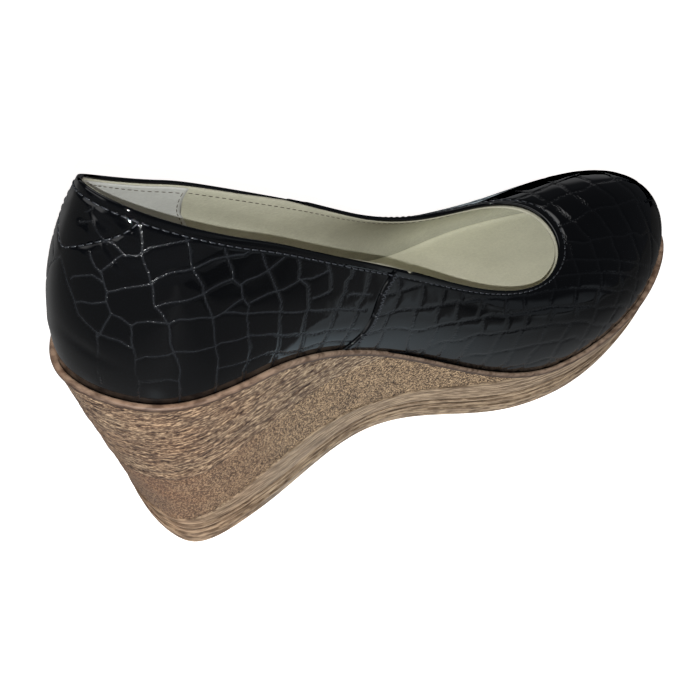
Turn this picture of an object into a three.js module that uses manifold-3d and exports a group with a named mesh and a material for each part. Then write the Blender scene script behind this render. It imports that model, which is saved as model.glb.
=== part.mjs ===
// Court shoe on a wedge platform: a closed pump with a low oval topline, for the left foot.
// Millimetres. +X points to the toe, +Y to the outer side of the foot, +Z up, floor at z = 0.

import * as THREE from 'three';
import { mergeVertices } from 'three/addons/utils/BufferGeometryUtils.js';
import Module from 'manifold-3d';

const wasm = await Module();
wasm.setup();

// Driving dimensions of the last
const LAST_LENGTH = 241; // heel to toe along the line where the upper meets the sole
const LAST_WIDTH = 78; // full width at the ball
const BACK_HEIGHT = 60; // topline over the bed at the back of the heel
const HEEL_HEIGHT = 68; // bed over the floor under the heel
const BALL_HEIGHT = 16; // bed over the floor under the ball
const HEEL_CUP_RISE = 1.5; // how far the bed rises again at the very back
const BED_TOE_SPRING = 7.5; // lift of the bed at the toe
const GROUND_TOE_SPRING = 13; // lift of the ground edge at the toe
const ARCH_LIFT = 6; // rise of the underside at the waist

// Walls, layers and clearances
const UPPER_WALL = 2;
const SEAM_RISE = 0.7; // how far the side seams stand out of the wall
const INSOLE_THICKNESS = 2.6;
const INSOLE_EDGE_ROUND = 0.8;
const OUTSOLE_THICKNESS = 5;
const OUTSOLE_EDGE_ROUND = 1.6;
const SOLE_LEDGE = 2; // how far the sole stands out beside the upper
const RIM_HEIGHT = 1.7;
const RIM_BULGE = 0.4; // how far the rim stands out past the ledge
const RIM_GAP = 0.45; // between the rim and the wall that curves out beside it
const LAYER_STEP = 0.4; // how far each inner layer sits back in the side
const GROOVE_COUNT = 2;
const GROOVE_PITCH = 2.4; // height between the platform's grooves
const GROOVE_HEIGHT = 0.8;
const GROOVE_DEPTH = 0.8;
const FIT_GAP = 0.3; // between curved pieces that meet
const LAYER_TIP = 0.6; // thickness at which a tapering layer is cut off

// Where the side profile changes, in shares of the last's length from the heel
const BED_SLOPE = { from: 0.19, to: 0.69 };
const BED_TOE = { from: 0.69, to: 1 };
const HEEL_CUP_END = 0.125;
const ARCH = { from: 0.22, to: 0.64 };
const GROUND_TOE = { from: 0.7, to: 1.03 };

// The layers of the wedge, in shares of the local height from the ground to the bed
const PLATFORM_SHARE = { back: 0.14, waist: 0.42, waistAt: 0.4 };
const CORK_TIP = { at: 0.62, curve: 1.5 };
const HEEL_LAYER_SHARE = 0.47;
const HEEL_LAYER_TIP = { at: 0.4, curve: 1.7 };

// The side seams: the section at half height, how far they lean from sole to topline, and their widths,
// all in sections of the upper, of which one is about 38 mm long here
const INNER_SEAM = { section: 3.415, lean: 1 };
const OUTER_SEAM = { section: 12.585, lean: -1 };
const SEAM_HALF_WIDTH = 0.045;
const SEAM_RAMP = 0.02;
const SEAM_REACH = 2.2; // how far beside a seam the ribs lean with it

// How finely the surfaces are divided
const RING_STEPS = 80;
const RIB_STEPS = 9;
const WALL_LEVELS = 2;
const SLAB_STEPS = 36; // stretches of a layer line
const SLAB_SPAN = { from: -0.1, to: 1.1 }; // where layer lines start and end, in shares of the length
const SIDE_SPARE = 0.12; // how far a block reaches past the side's two edges, as a share of the side
const EDGE_ROUND_LEVELS = [0, 0.2, 0.5, 1]; // heights on the outsole's rounded edge, as shares of it
const TIP_HALVINGS = 20;
const SMALL_STEP = 0.001; // in sections or rib shares, for slopes

// The two long lines of the upper at each section: back, along the inner side to the toe, and back along
// the outer side. footX and footY are the line on the sole, topX and topY the topline, in shares of the
// last's length and width. topZ is the topline over the bed, in shares of the back height.
const UPPER_LINES = [
  { footX: 0, footY: 0, topX: 0.035, topY: 0.005, topZ: 1.02 },
  { footX: 0.038, footY: -0.26, topX: 0.05, topY: -0.115, topZ: 1 },
  { footX: 0.139, footY: -0.372, topX: 0.116, topY: -0.25, topZ: 0.88 },
  { footX: 0.331, footY: -0.336, topX: 0.26, topY: -0.325, topZ: 0.62 },
  { footX: 0.488, footY: -0.345, topX: 0.407, topY: -0.335, topZ: 0.56 },
  { footX: 0.674, footY: -0.438, topX: 0.555, topY: -0.362, topZ: 0.57 },
  { footX: 0.847, footY: -0.38, topX: 0.671, topY: -0.332, topZ: 0.575 },
  { footX: 0.962, footY: -0.205, topX: 0.734, topY: -0.185, topZ: 0.59 },
  { footX: 1.002, footY: -0.004, topX: 0.749, topY: -0.005, topZ: 0.61 },
  { footX: 0.962, footY: 0.262, topX: 0.729, topY: 0.155, topZ: 0.595 },
  { footX: 0.829, footY: 0.482, topX: 0.666, topY: 0.275, topZ: 0.54 },
  { footX: 0.662, footY: 0.54, topX: 0.55, topY: 0.32, topZ: 0.475 },
  { footX: 0.498, footY: 0.418, topX: 0.402, topY: 0.318, topZ: 0.445 },
  { footX: 0.329, footY: 0.37, topX: 0.252, topY: 0.322, topZ: 0.48 },
  { footX: 0.14, footY: 0.37, topX: 0.106, topY: 0.264, topZ: 0.76 },
  { footX: 0.047, footY: 0.252, topX: 0.053, topY: 0.13, topZ: 0.94 },
];

// How the wall curves between those lines at the same sections. Low down it is pulled out by bulge and up
// by rise. Under the topline it is pulled back toward the sole line by reach, a share of their distance,
// out by swell and down by drop. bulge and swell are shares of the width, rise and drop of the back height.
const UPPER_PULLS = [
  { bulge: 0.065, rise: 0.36, reach: 0, swell: 0.105, drop: 0.33 },
  { bulge: 0.062, rise: 0.35, reach: 0, swell: 0.11, drop: 0.32 },
  { bulge: 0.056, rise: 0.3, reach: 0, swell: 0.1, drop: 0.3 },
  { bulge: 0.05, rise: 0.24, reach: 0, swell: 0.03, drop: 0.24 },
  { bulge: 0.06, rise: 0.23, reach: 0.05, swell: 0.03, drop: 0.22 },
  { bulge: 0.095, rise: 0.25, reach: 0.2, swell: 0.06, drop: 0.16 },
  { bulge: 0.082, rise: 0.28, reach: 0.4, swell: 0.03, drop: 0.08 },
  { bulge: 0.055, rise: 0.35, reach: 0.46, swell: 0, drop: 0.03 },
  { bulge: 0.048, rise: 0.48, reach: 0.515, swell: 0.007, drop: -0.03 },
  { bulge: 0.061, rise: 0.425, reach: 0.5, swell: -0.005, drop: 0.04 },
  { bulge: 0.071, rise: 0.225, reach: 0.385, swell: 0, drop: 0.135 },
  { bulge: 0.07, rise: 0.2, reach: 0.26, swell: 0.02, drop: 0.14 },
  { bulge: 0.058, rise: 0.195, reach: 0.11, swell: 0.005, drop: 0.2 },
  { bulge: 0.052, rise: 0.215, reach: 0, swell: 0.03, drop: 0.2 },
  { bulge: 0.058, rise: 0.305, reach: 0, swell: 0.1, drop: 0.28 },
  { bulge: 0.066, rise: 0.355, reach: 0, swell: 0.112, drop: 0.31 },
];

// The ground edge of the sole at the same sections, in shares of the last's length and width.
const GROUND_LINE = [
  { groundX: 0.1, groundY: -0.01 },
  { groundX: 0.106, groundY: -0.215 },
  { groundX: 0.161, groundY: -0.295 },
  { groundX: 0.314, groundY: -0.217 },
  { groundX: 0.47, groundY: -0.235 },
  { groundX: 0.659, groundY: -0.412 },
  { groundX: 0.844, groundY: -0.355 },
  { groundX: 0.972, groundY: -0.195 },
  { groundX: 1.024, groundY: 0 },
  { groundX: 0.972, groundY: 0.265 },
  { groundX: 0.837, groundY: 0.505 },
  { groundX: 0.665, groundY: 0.56 },
  { groundX: 0.498, groundY: 0.435 },
  { groundX: 0.329, groundY: 0.365 },
  { groundX: 0.177, groundY: 0.34 },
  { groundX: 0.118, groundY: 0.205 },
];

const FINISHES = {
  patent: { color: 0x0d0f12, roughness: 0.12, metalness: 0 },
  sock: { color: 0xb4af97, roughness: 0.6, metalness: 0 },
  jute: { color: 0x9b8163, roughness: 0.85, metalness: 0 },
  cork: { color: 0x84694f, roughness: 0.9, metalness: 0 },
  ground: { color: 0x8e7254, roughness: 0.8, metalness: 0 },
  rim: { color: 0x8a6549, roughness: 0.6, metalness: 0 },
};

// A smooth closed curve through one column of a table: cubic pieces whose slope and bend run on across
// every row. The bends are found by repeated averaging, until none of them changes any more.
function columnCurve(rows, column) {
  const values = rows.map((row) => row[column]);
  const count = values.length;
  const bends = new Array(count).fill(0);
  let change = 1;
  while (change > Number.EPSILON) {
    change = 0;
    for (let i = 0; i < count; i += 1) {
      const before = (i + count - 1) % count;
      const after = (i + 1) % count;
      const turn = 6 * (values[after] - 2 * values[i] + values[before]);
      const bend = (turn - bends[before] - bends[after]) / 4;
      change = Math.max(change, Math.abs(bend - bends[i]));
      bends[i] = bend;
    }
  }
  return (section) => {
    const lap = ((section % count) + count) % count;
    const from = Math.floor(lap);
    const to = (from + 1) % count;
    const t = lap - from;
    const s = 1 - t;
    const bend = (s ** 3 - s) * bends[from] + (t ** 3 - t) * bends[to];
    return s * values[from] + t * values[to] + bend / 6;
  };
}

const SECTION_COUNT = UPPER_LINES.length;
const line = {};
for (const table of [UPPER_LINES, UPPER_PULLS, GROUND_LINE]) {
  for (const column of Object.keys(table[0])) {
    line[column] = columnCurve(table, column);
  }
}

const clampShare = (value) => THREE.MathUtils.clamp(value, 0, 1);
const easeInOut = (share) => share * share * (3 - 2 * share);
const shareAlong = (x, { from, to }) => (x / LAST_LENGTH - from) / (to - from);

// Height of the bed that the foot stands on: level heel, slope down to the ball, spring up to the toe.
function bedHeight(x) {
  const slope = easeInOut(clampShare(shareAlong(x, BED_SLOPE)));
  const toe = Math.max(0, shareAlong(x, BED_TOE));
  const cup = Math.max(0, 1 - x / (HEEL_CUP_END * LAST_LENGTH));
  const level = HEEL_HEIGHT + (BALL_HEIGHT - HEEL_HEIGHT) * slope;
  return level + BED_TOE_SPRING * toe ** 2 + HEEL_CUP_RISE * cup ** 2;
}

// Height of the underside: flat at heel and ball, lifted at the waist and the toe.
function groundHeight(x) {
  const waist = Math.sin(Math.PI * clampShare(shareAlong(x, ARCH)));
  const toe = Math.max(0, shareAlong(x, GROUND_TOE));
  return ARCH_LIFT * waist ** 2 + GROUND_TOE_SPRING * toe ** 2;
}

// Height of a layer line that runs at a share of the way from the ground to the bed.
const heightAtShare = (x, share) => groundHeight(x) + (bedHeight(x) - groundHeight(x)) * share;
const outsoleTop = (x) => groundHeight(x) + OUTSOLE_THICKNESS;

function platformTop(x) {
  const along = x / LAST_LENGTH;
  const { back, waist, waistAt } = PLATFORM_SHARE;
  const toWaist = easeInOut(clampShare(along / waistAt));
  const toTip = clampShare((along - waistAt) / (CORK_TIP.at - waistAt)) ** CORK_TIP.curve;
  return heightAtShare(x, back + (waist - back) * toWaist + (1 - waist) * toTip);
}

function corkTop(x) {
  const toTip = clampShare(x / LAST_LENGTH / HEEL_LAYER_TIP.at) ** HEEL_LAYER_TIP.curve;
  return heightAtShare(x, HEEL_LAYER_SHARE + (1 - HEEL_LAYER_SHARE) * toTip);
}

// Level direction that points out of the foot line at a section.
function outwardAt(section) {
  const runX = (line.footX(section + SMALL_STEP) - line.footX(section - SMALL_STEP)) * LAST_LENGTH;
  const runY = (line.footY(section + SMALL_STEP) - line.footY(section - SMALL_STEP)) * LAST_WIDTH;
  return new THREE.Vector3(runY, -runX, 0).normalize();
}

// A point beside the foot line, a distance out and a height over the bed.
function besideFoot(section, outward, height) {
  const point = new THREE.Vector3(line.footX(section) * LAST_LENGTH, line.footY(section) * LAST_WIDTH, 0);
  point.addScaledVector(outwardAt(section), outward);
  point.z = bedHeight(point.x) + height;
  return point;
}

// The upper's outer face: a cubic rib from the foot line, share 0, to the topline, share 1.
function upperPoint(section, share) {
  const foot = besideFoot(section, 0, FIT_GAP);
  const top = new THREE.Vector3(line.topX(section) * LAST_LENGTH, line.topY(section) * LAST_WIDTH, 0);
  top.z = bedHeight(top.x) + line.topZ(section) * BACK_HEIGHT;
  const outward = outwardAt(section);
  const low = foot.clone().addScaledVector(outward, line.bulge(section) * LAST_WIDTH);
  low.z += line.rise(section) * BACK_HEIGHT;
  const high = top.clone().addScaledVector(outward, line.swell(section) * LAST_WIDTH);
  high.x += (foot.x - top.x) * line.reach(section);
  high.y += (foot.y - top.y) * line.reach(section);
  high.z -= line.drop(section) * BACK_HEIGHT;
  return new THREE.CubicBezierCurve3(foot, low, high, top).getPoint(share);
}

function upperNormal(section, share) {
  const from = Math.max(0, share - SMALL_STEP);
  const to = Math.min(1, share + SMALL_STEP);
  const up = upperPoint(section, to).sub(upperPoint(section, from));
  const along = upperPoint(section + SMALL_STEP, share).sub(upperPoint(section - SMALL_STEP, share));
  return along.cross(up).normalize();
}

// The sole's side: a straight line from the ground edge, share 0, to the ledge beside the upper, share 1.
function sidePoint(section, share, inset) {
  const low = new THREE.Vector3(line.groundX(section) * LAST_LENGTH, line.groundY(section) * LAST_WIDTH, 0);
  low.z = groundHeight(low.x);
  const high = besideFoot(section, SOLE_LEDGE, 0);
  return low.lerp(high, share).addScaledVector(outwardAt(section), -inset);
}

const sideHeight = (section) => sidePoint(section, 1, 0).z - sidePoint(section, 0, 0).z;

const ringSections = Array.from({ length: RING_STEPS }, (_, step) => (step * SECTION_COUNT) / RING_STEPS);

// Faces between rings of equal length, one above the other. The last ring joins the first if closed is set,
// and otherwise each end ring is closed by strips across the shoe.
function ringGeometry(rings, closed) {
  const count = rings[0].length;
  const faces = [];
  const bands = closed ? rings.length : rings.length - 1;
  for (let band = 0; band < bands; band += 1) {
    const low = band * count;
    const high = ((band + 1) % rings.length) * count;
    for (let i = 0; i < count; i += 1) {
      const next = (i + 1) % count;
      faces.push(low + i, low + next, high + next);
      faces.push(low + i, high + next, high + i);
    }
  }
  if (!closed) {
    const top = (rings.length - 1) * count;
    for (let i = 0; i < count / 2; i += 1) {
      const far = count - i - 1;
      const back = (count - i) % count;
      if (far !== i + 1) {
        faces.push(top + i, top + i + 1, top + far);
        faces.push(i, far, i + 1);
      }
      if (back !== i) {
        faces.push(top + i, top + far, top + back);
        faces.push(i, back, far);
      }
    }
  }
  const geometry = new THREE.BufferGeometry();
  const positions = rings.flat().flatMap((point) => point.toArray());
  geometry.setAttribute('position', new THREE.Float32BufferAttribute(positions, 3));
  geometry.setIndex(faces);
  return geometry;
}

function toSolid(geometry) {
  const bare = geometry.clone();
  bare.deleteAttribute('normal');
  bare.deleteAttribute('uv');
  const merged = mergeVertices(bare);
  const mesh = new wasm.Mesh({
    numProp: 3,
    vertProperties: new Float32Array(merged.attributes.position.array),
    triVerts: new Uint32Array(merged.index.array),
  });
  return new wasm.Manifold(mesh);
}

function toGeometry(solid) {
  const mesh = solid.getMesh();
  const geometry = new THREE.BufferGeometry();
  geometry.setAttribute('position', new THREE.Float32BufferAttribute(mesh.vertProperties, 3));
  geometry.setIndex(new THREE.BufferAttribute(mesh.triVerts, 1));
  return geometry;
}

// The whole sole block, a little taller than the sole so that the layer lines cut its top and bottom.
function soleBlock(inset) {
  const rings = Array.from({ length: WALL_LEVELS + 1 }, (_, level) => {
    const share = -SIDE_SPARE + ((1 + 2 * SIDE_SPARE) * level) / WALL_LEVELS;
    return ringSections.map((section) => sidePoint(section, share, inset));
  });
  return toSolid(ringGeometry(rings, false));
}

// The outsole's block: its lower edge is a quarter round.
function outsoleBlock() {
  const round = OUTSOLE_EDGE_ROUND;
  const edge = EDGE_ROUND_LEVELS.map((share) => share * round);
  const levels = [-round, ...edge, OUTSOLE_THICKNESS + round];
  const rings = levels.map((height) => {
    const below = clampShare(1 - height / round);
    const inset = round * (1 - Math.sqrt(1 - below ** 2));
    return ringSections.map((section) => sidePoint(section, height / sideHeight(section), inset));
  });
  return toSolid(ringGeometry(rings, false));
}

// Length at which two closing layer lines are as near as the thinnest tip.
function slabTip(lowLine, highLine, start, end) {
  let near = start;
  let far = end;
  for (let halving = 0; halving < TIP_HALVINGS; halving += 1) {
    const middle = (near + far) / 2;
    if (highLine(middle) - lowLine(middle) < LAYER_TIP) {
      far = middle;
    } else {
      near = middle;
    }
  }
  return near;
}

// Everything between two layer lines, across the whole width, up to where they come together.
function slab(lowLine, highLine) {
  const start = SLAB_SPAN.from * LAST_LENGTH;
  const stretch = ((SLAB_SPAN.to - SLAB_SPAN.from) * LAST_LENGTH) / SLAB_STEPS;
  const low = [];
  const high = [];
  for (let step = 0; step <= SLAB_STEPS; step += 1) {
    const x = start + step * stretch;
    if (highLine(x) - lowLine(x) < LAYER_TIP) {
      break;
    }
    low.push(new THREE.Vector2(x, lowLine(x)));
    high.push(new THREE.Vector2(x, highLine(x)));
  }
  if (low.length <= SLAB_STEPS) {
    const { x } = low[low.length - 1];
    const tip = slabTip(lowLine, highLine, x, x + stretch);
    low.push(new THREE.Vector2(tip, lowLine(tip)));
    high.push(new THREE.Vector2(tip, highLine(tip)));
  }
  const outline = new THREE.Shape([...low, ...high.reverse()]);
  const depth = 2 * LAST_WIDTH;
  const geometry = new THREE.ExtrudeGeometry(outline, { depth, bevelEnabled: false });
  geometry.rotateX(Math.PI / 2);
  geometry.translate(0, depth / 2, 0);
  return toSolid(geometry);
}

const raised = (layerLine, height) => (x) => layerLine(x) + height;

function outsoleGeometry() {
  return toGeometry(outsoleBlock().intersect(slab(groundHeight, outsoleTop)));
}

// The platform band, with grooves that run round its side parallel to the ground edge.
function platformGeometry() {
  const bottom = raised(outsoleTop, FIT_GAP);
  let band = soleBlock(LAYER_STEP).intersect(slab(bottom, platformTop));
  const grooveRing = soleBlock(-LAYER_STEP).subtract(soleBlock(LAYER_STEP + GROOVE_DEPTH));
  for (let groove = 1; groove <= GROOVE_COUNT; groove += 1) {
    const grooveBottom = raised(bottom, groove * GROOVE_PITCH - GROOVE_HEIGHT);
    band = band.subtract(grooveRing.intersect(slab(grooveBottom, raised(grooveBottom, GROOVE_HEIGHT))));
  }
  return toGeometry(band);
}

function corkGeometry() {
  const block = soleBlock(2 * LAYER_STEP);
  return toGeometry(block.intersect(slab(raised(platformTop, FIT_GAP), corkTop)));
}

function heelLayerGeometry() {
  return toGeometry(soleBlock(LAYER_STEP).intersect(slab(raised(corkTop, FIT_GAP), bedHeight)));
}

// The rim: a bead on the ledge, whose inner face leans with the upper beside it.
function rimGeometry() {
  const profile = [
    { out: RIM_GAP, up: 0, lean: 0 },
    { out: SOLE_LEDGE, up: 0, lean: 0 },
    { out: SOLE_LEDGE + RIM_BULGE, up: 0.45, lean: 0 },
    { out: SOLE_LEDGE + RIM_BULGE / 2, up: 0.85, lean: 0 },
    { out: (SOLE_LEDGE + RIM_GAP) / 2, up: 1, lean: 0.5 },
    { out: RIM_GAP, up: 0.85, lean: 1 },
  ];
  const rings = profile.map(({ out, up, lean }) =>
    ringSections.map((section) => {
      const slope = (line.bulge(section) * LAST_WIDTH) / (line.rise(section) * BACK_HEIGHT);
      return besideFoot(section, out + lean * slope * RIM_HEIGHT, FIT_GAP + up * RIM_HEIGHT);
    }),
  );
  return ringGeometry(rings, true);
}

function insoleGeometry() {
  const edge = -UPPER_WALL - FIT_GAP;
  const levels = [
    { out: edge, up: 0 },
    { out: edge, up: INSOLE_THICKNESS - INSOLE_EDGE_ROUND },
    { out: edge - INSOLE_EDGE_ROUND, up: INSOLE_THICKNESS },
  ];
  const rings = levels.map(({ out, up }) =>
    ringSections.map((section) => besideFoot(section, out, FIT_GAP + up)),
  );
  return ringGeometry(rings, false);
}

// The upper's columns: even steps, with four more at each seam, where the wall steps out and back.
function upperColumns() {
  const atSeams = [];
  for (const seam of [INNER_SEAM, OUTER_SEAM]) {
    const edge = SEAM_HALF_WIDTH + SEAM_RAMP;
    for (const [offset, rise] of [[-edge, 0], [-SEAM_HALF_WIDTH, 1], [SEAM_HALF_WIDTH, 1], [edge, 0]]) {
      atSeams.push({ section: seam.section + offset, rise });
    }
  }
  const clear = SECTION_COUNT / RING_STEPS / 3;
  const between = ringSections
    .filter((section) => atSeams.every((column) => Math.abs(column.section - section) > clear))
    .map((section) => ({ section, rise: 0 }));
  return [...atSeams, ...between].sort((a, b) => a.section - b.section);
}

// Where a column stands at a height: near a seam it leans with the seam.
function leaningSection(section, share) {
  let leaning = section;
  for (const seam of [INNER_SEAM, OUTER_SEAM]) {
    const away = (section - seam.section) / SEAM_REACH;
    const hold = Math.max(0, 1 - away ** 2) ** 2;
    leaning += seam.lean * (share - 0.5) * hold;
  }
  return leaning;
}

function upperGeometry() {
  const columns = upperColumns();
  const shares = Array.from({ length: RIB_STEPS + 1 }, (_, step) => step / RIB_STEPS);
  const outer = shares.map((share) =>
    columns.map(({ section, rise }) => {
      const place = leaningSection(section, share);
      const seam = share === 0 ? 0 : rise * SEAM_RISE;
      return upperPoint(place, share).addScaledVector(upperNormal(place, share), seam);
    }),
  );
  const inner = shares.map((share) =>
    columns.map(({ section }) => {
      const place = leaningSection(section, share);
      if (share === 0) {
        return besideFoot(place, -UPPER_WALL, FIT_GAP);
      }
      return upperPoint(place, share).addScaledVector(upperNormal(place, share), -UPPER_WALL);
    }),
  );
  return ringGeometry([...outer, ...inner.reverse()], true);
}

function piece(name, geometry, finish) {
  const flat = geometry.toNonIndexed();
  flat.computeVertexNormals();
  const mesh = new THREE.Mesh(flat, new THREE.MeshStandardMaterial(FINISHES[finish]));
  mesh.name = name;
  return mesh;
}

const shoe = new THREE.Group();
shoe.add(piece('outsole', outsoleGeometry(), 'ground'));
shoe.add(piece('platform', platformGeometry(), 'jute'));
shoe.add(piece('cork_wedge', corkGeometry(), 'cork'));
shoe.add(piece('heel_layer', heelLayerGeometry(), 'jute'));
shoe.add(piece('sole_rim', rimGeometry(), 'rim'));
shoe.add(piece('insole', insoleGeometry(), 'sock'));
shoe.add(piece('upper', upperGeometry(), 'patent'));

// The origin is on the floor, under the middle of the shoe's box.
const middle = new THREE.Box3().setFromObject(shoe).getCenter(new THREE.Vector3());
shoe.position.set(-middle.x, -middle.y, 0);

export default shoe;
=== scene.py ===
# %% [markdown]
# # A court shoe on a wedge platform
# The shoe is a closed pump for the left foot: glossy black leather, embossed like reptile skin, over a
# tall wedge that looks like jute and cork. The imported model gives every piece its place. This lesson
# gives them their looks, and each visible surface is worked out with numpy from the lines of the last.

import bpy
import bmesh
import numpy as np
from mathutils import Matrix, Vector


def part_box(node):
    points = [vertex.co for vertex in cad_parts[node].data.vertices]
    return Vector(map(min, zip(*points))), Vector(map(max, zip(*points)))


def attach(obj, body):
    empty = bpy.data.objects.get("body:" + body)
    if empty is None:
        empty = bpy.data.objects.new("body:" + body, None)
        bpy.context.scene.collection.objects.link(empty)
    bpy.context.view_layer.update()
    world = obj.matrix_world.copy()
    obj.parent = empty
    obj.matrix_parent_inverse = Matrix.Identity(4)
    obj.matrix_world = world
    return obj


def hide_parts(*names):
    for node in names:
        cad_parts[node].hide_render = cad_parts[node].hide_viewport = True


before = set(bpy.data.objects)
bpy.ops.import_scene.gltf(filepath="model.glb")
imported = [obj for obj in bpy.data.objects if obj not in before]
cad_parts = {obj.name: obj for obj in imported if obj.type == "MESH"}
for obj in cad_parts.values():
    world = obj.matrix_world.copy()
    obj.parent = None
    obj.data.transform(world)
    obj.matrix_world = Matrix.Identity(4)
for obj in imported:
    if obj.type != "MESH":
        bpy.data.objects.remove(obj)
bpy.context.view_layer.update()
MM = 0.001
print("nodes:", ", ".join(sorted(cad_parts)))

# %% [markdown]
# ## The lines of the last
# A shoemaker works from a few long lines: the foot line, where the upper meets the sole, the topline,
# where the foot goes in, and the ground line. Sixteen sections run round the shoe, from the back along
# the inner side to the toe and back along the outer side. Each line is a smooth closed curve through
# sixteen given shares of the last's length, width or back height, the same as in the model.

# %% Sizes and lines
LAST_LENGTH = 241 * MM
LAST_WIDTH = 78 * MM
BACK_HEIGHT = 60 * MM
HEEL_HEIGHT = 68 * MM
BALL_HEIGHT = 16 * MM
HEEL_CUP_RISE = 1.5 * MM
BED_TOE_SPRING = 7.5 * MM
GROUND_TOE_SPRING = 13 * MM
ARCH_LIFT = 6 * MM
WALL = 2 * MM
FIT_GAP = 0.3 * MM
SOLE_LEDGE = 2 * MM
RIM_BULGE = 0.4 * MM
OUTSOLE_THICKNESS = 5 * MM
INSOLE_THICKNESS = 2.6 * MM
# Shares of the last's length at which something starts or ends
BED_SLOPE = (.19, .69)
HEEL_CUP_END = .125
ARCH = (.22, .64)
GROUND_TOE = (.7, 1.03)

LINES = {
    "foot_x": (0, .038, .139, .331, .488, .674, .847, .962,
               1.002, .962, .829, .662, .498, .329, .14, .047),
    "foot_y": (0, -.26, -.372, -.336, -.345, -.438, -.38, -.205,
               -.004, .262, .482, .54, .418, .37, .37, .252),
    "top_x": (.035, .05, .116, .26, .407, .555, .671, .734,
              .749, .729, .666, .55, .402, .252, .106, .053),
    "top_y": (.005, -.115, -.25, -.325, -.335, -.362, -.332, -.185,
              -.005, .155, .275, .32, .318, .322, .264, .13),
    "top_z": (1.02, 1, .88, .62, .56, .57, .575, .59,
              .61, .595, .54, .475, .445, .48, .76, .94),
    "bulge": (.065, .062, .056, .05, .06, .095, .082, .055,
              .048, .061, .071, .07, .058, .052, .058, .066),
    "rise": (.36, .35, .3, .24, .23, .25, .28, .35,
             .48, .425, .225, .2, .195, .215, .305, .355),
    "reach": (0, 0, 0, 0, .05, .2, .4, .46,
              .515, .5, .385, .26, .11, 0, 0, 0),
    "swell": (.105, .11, .1, .03, .03, .06, .03, 0,
              .007, -.005, 0, .02, .005, .03, .1, .112),
    "drop": (.33, .32, .3, .24, .22, .16, .08, .03,
             -.03, .04, .135, .14, .2, .2, .28, .31),
    "ground_x": (.1, .106, .161, .314, .47, .659, .844, .972,
                 1.024, .972, .837, .665, .498, .329, .177, .118),
    "ground_y": (-.01, -.215, -.295, -.217, -.235, -.412, -.355, -.195,
                 0, .265, .505, .56, .435, .365, .34, .205),
}
SECTIONS = 16


def bends_through(values):
    """Bend at each section of a closed cubic curve whose slope and bend run on across every section:
    4 b + (b before) + (b after) = 6 (value after - 2 value + value before)."""
    values = np.array(values, float)
    one = np.eye(len(values))
    rows = 4 * one + np.roll(one, 1, 0) + np.roll(one, -1, 0)
    return np.linalg.solve(rows, 6 * (np.roll(values, -1) - 2 * values + np.roll(values, 1)))


BENDS = {name: bends_through(values) for name, values in LINES.items()}


def on_line(name, section):
    """A line's share at any section: s a + t b + ((s^3 - s) bend_a + (t^3 - t) bend_b) / 6, s = 1 - t."""
    values, bends = np.array(LINES[name], float), BENDS[name]
    lap = np.mod(section, SECTIONS)
    start = np.floor(lap).astype(int) % SECTIONS
    end = (start + 1) % SECTIONS
    t = lap - np.floor(lap)
    s = 1 - t
    return s * values[start] + t * values[end] + ((s**3 - s) * bends[start] + (t**3 - t) * bends[end]) / 6


def ease(share):
    """0 to 1 without a corner at either end: t^2 (3 - 2 t)."""
    t = np.clip(share, 0, 1)
    return t * t * (3 - 2 * t)


def eased_out(value, start, span):
    """1 up to the start, then eased to 0 over the span."""
    return 1 - ease((value - start) / span)


def bed_height(x):
    """Height of the bed: level heel, slope to the ball, spring to the toe, a little cup at the back."""
    along, (start, ball) = x / LAST_LENGTH, BED_SLOPE
    toe = np.maximum(0, (along - ball) / (1 - ball))
    cup = np.maximum(0, 1 - along / HEEL_CUP_END)
    level = HEEL_HEIGHT + (BALL_HEIGHT - HEEL_HEIGHT) * ease((along - start) / (ball - start))
    return level + BED_TOE_SPRING * toe**2 + HEEL_CUP_RISE * cup**2


def ground_height(x):
    """Height of the underside: flat at heel and ball, lifted as sin^2 at the waist, sprung at the toe."""
    along = x / LAST_LENGTH
    waist = np.sin(np.pi * np.clip((along - ARCH[0]) / (ARCH[1] - ARCH[0]), 0, 1))
    toe = np.maximum(0, (along - GROUND_TOE[0]) / (GROUND_TOE[1] - GROUND_TOE[0]))
    return ARCH_LIFT * waist**2 + GROUND_TOE_SPRING * toe**2


def outsole_top(x):
    """The outsole is one thickness all the way."""
    return ground_height(x) + OUTSOLE_THICKNESS


def part_way_up(x, share):
    """Height at a share of the way from the ground to the bed."""
    return ground_height(x) + (bed_height(x) - ground_height(x)) * share


def platform_top(x):
    """Share of the local height from ground to bed: .14 at the back, .42 at the waist, 1 at the ball."""
    along = x / LAST_LENGTH
    return part_way_up(x, .14 + .28 * ease(along / .4) + .58 * np.clip((along - .4) / .22, 0, 1)**1.5)


def cork_top(x):
    """Share of the local height: .47 at the back, rising to the whole height at 40 % of the length."""
    return part_way_up(x, .47 + .53 * np.clip(x / LAST_LENGTH / .4, 0, 1)**1.7)


print("bed at heel, ball and toe (mm):", np.round(bed_height(np.array([40, 160, 241]) * MM) / MM, 1))

# %% [markdown]
# ## The upper as a function of two numbers
# Each rib of the upper is a cubic curve from the foot line to the topline. Section says where round the
# shoe it stands, and share says how far up the rib a point is. All the leather, the lining, the stitches
# and the seams are placed by these two numbers, so they stay on the wall whatever the grid is.

# %% The wall of the upper
SMALL = 0.001


def unit(vectors):
    """Each vector over its length."""
    return vectors / np.maximum(np.linalg.norm(vectors, axis=-1, keepdims=True), 1e-12)


def seen_from_above(line, section):
    """x and y of a line, in metres."""
    return on_line(line + "_x", section) * LAST_LENGTH, on_line(line + "_y", section) * LAST_WIDTH


def from_back(section):
    """Sections from the back, less than 8 each way, and positive on the inner side."""
    return np.mod(section + 8, SECTIONS) - 8


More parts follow.
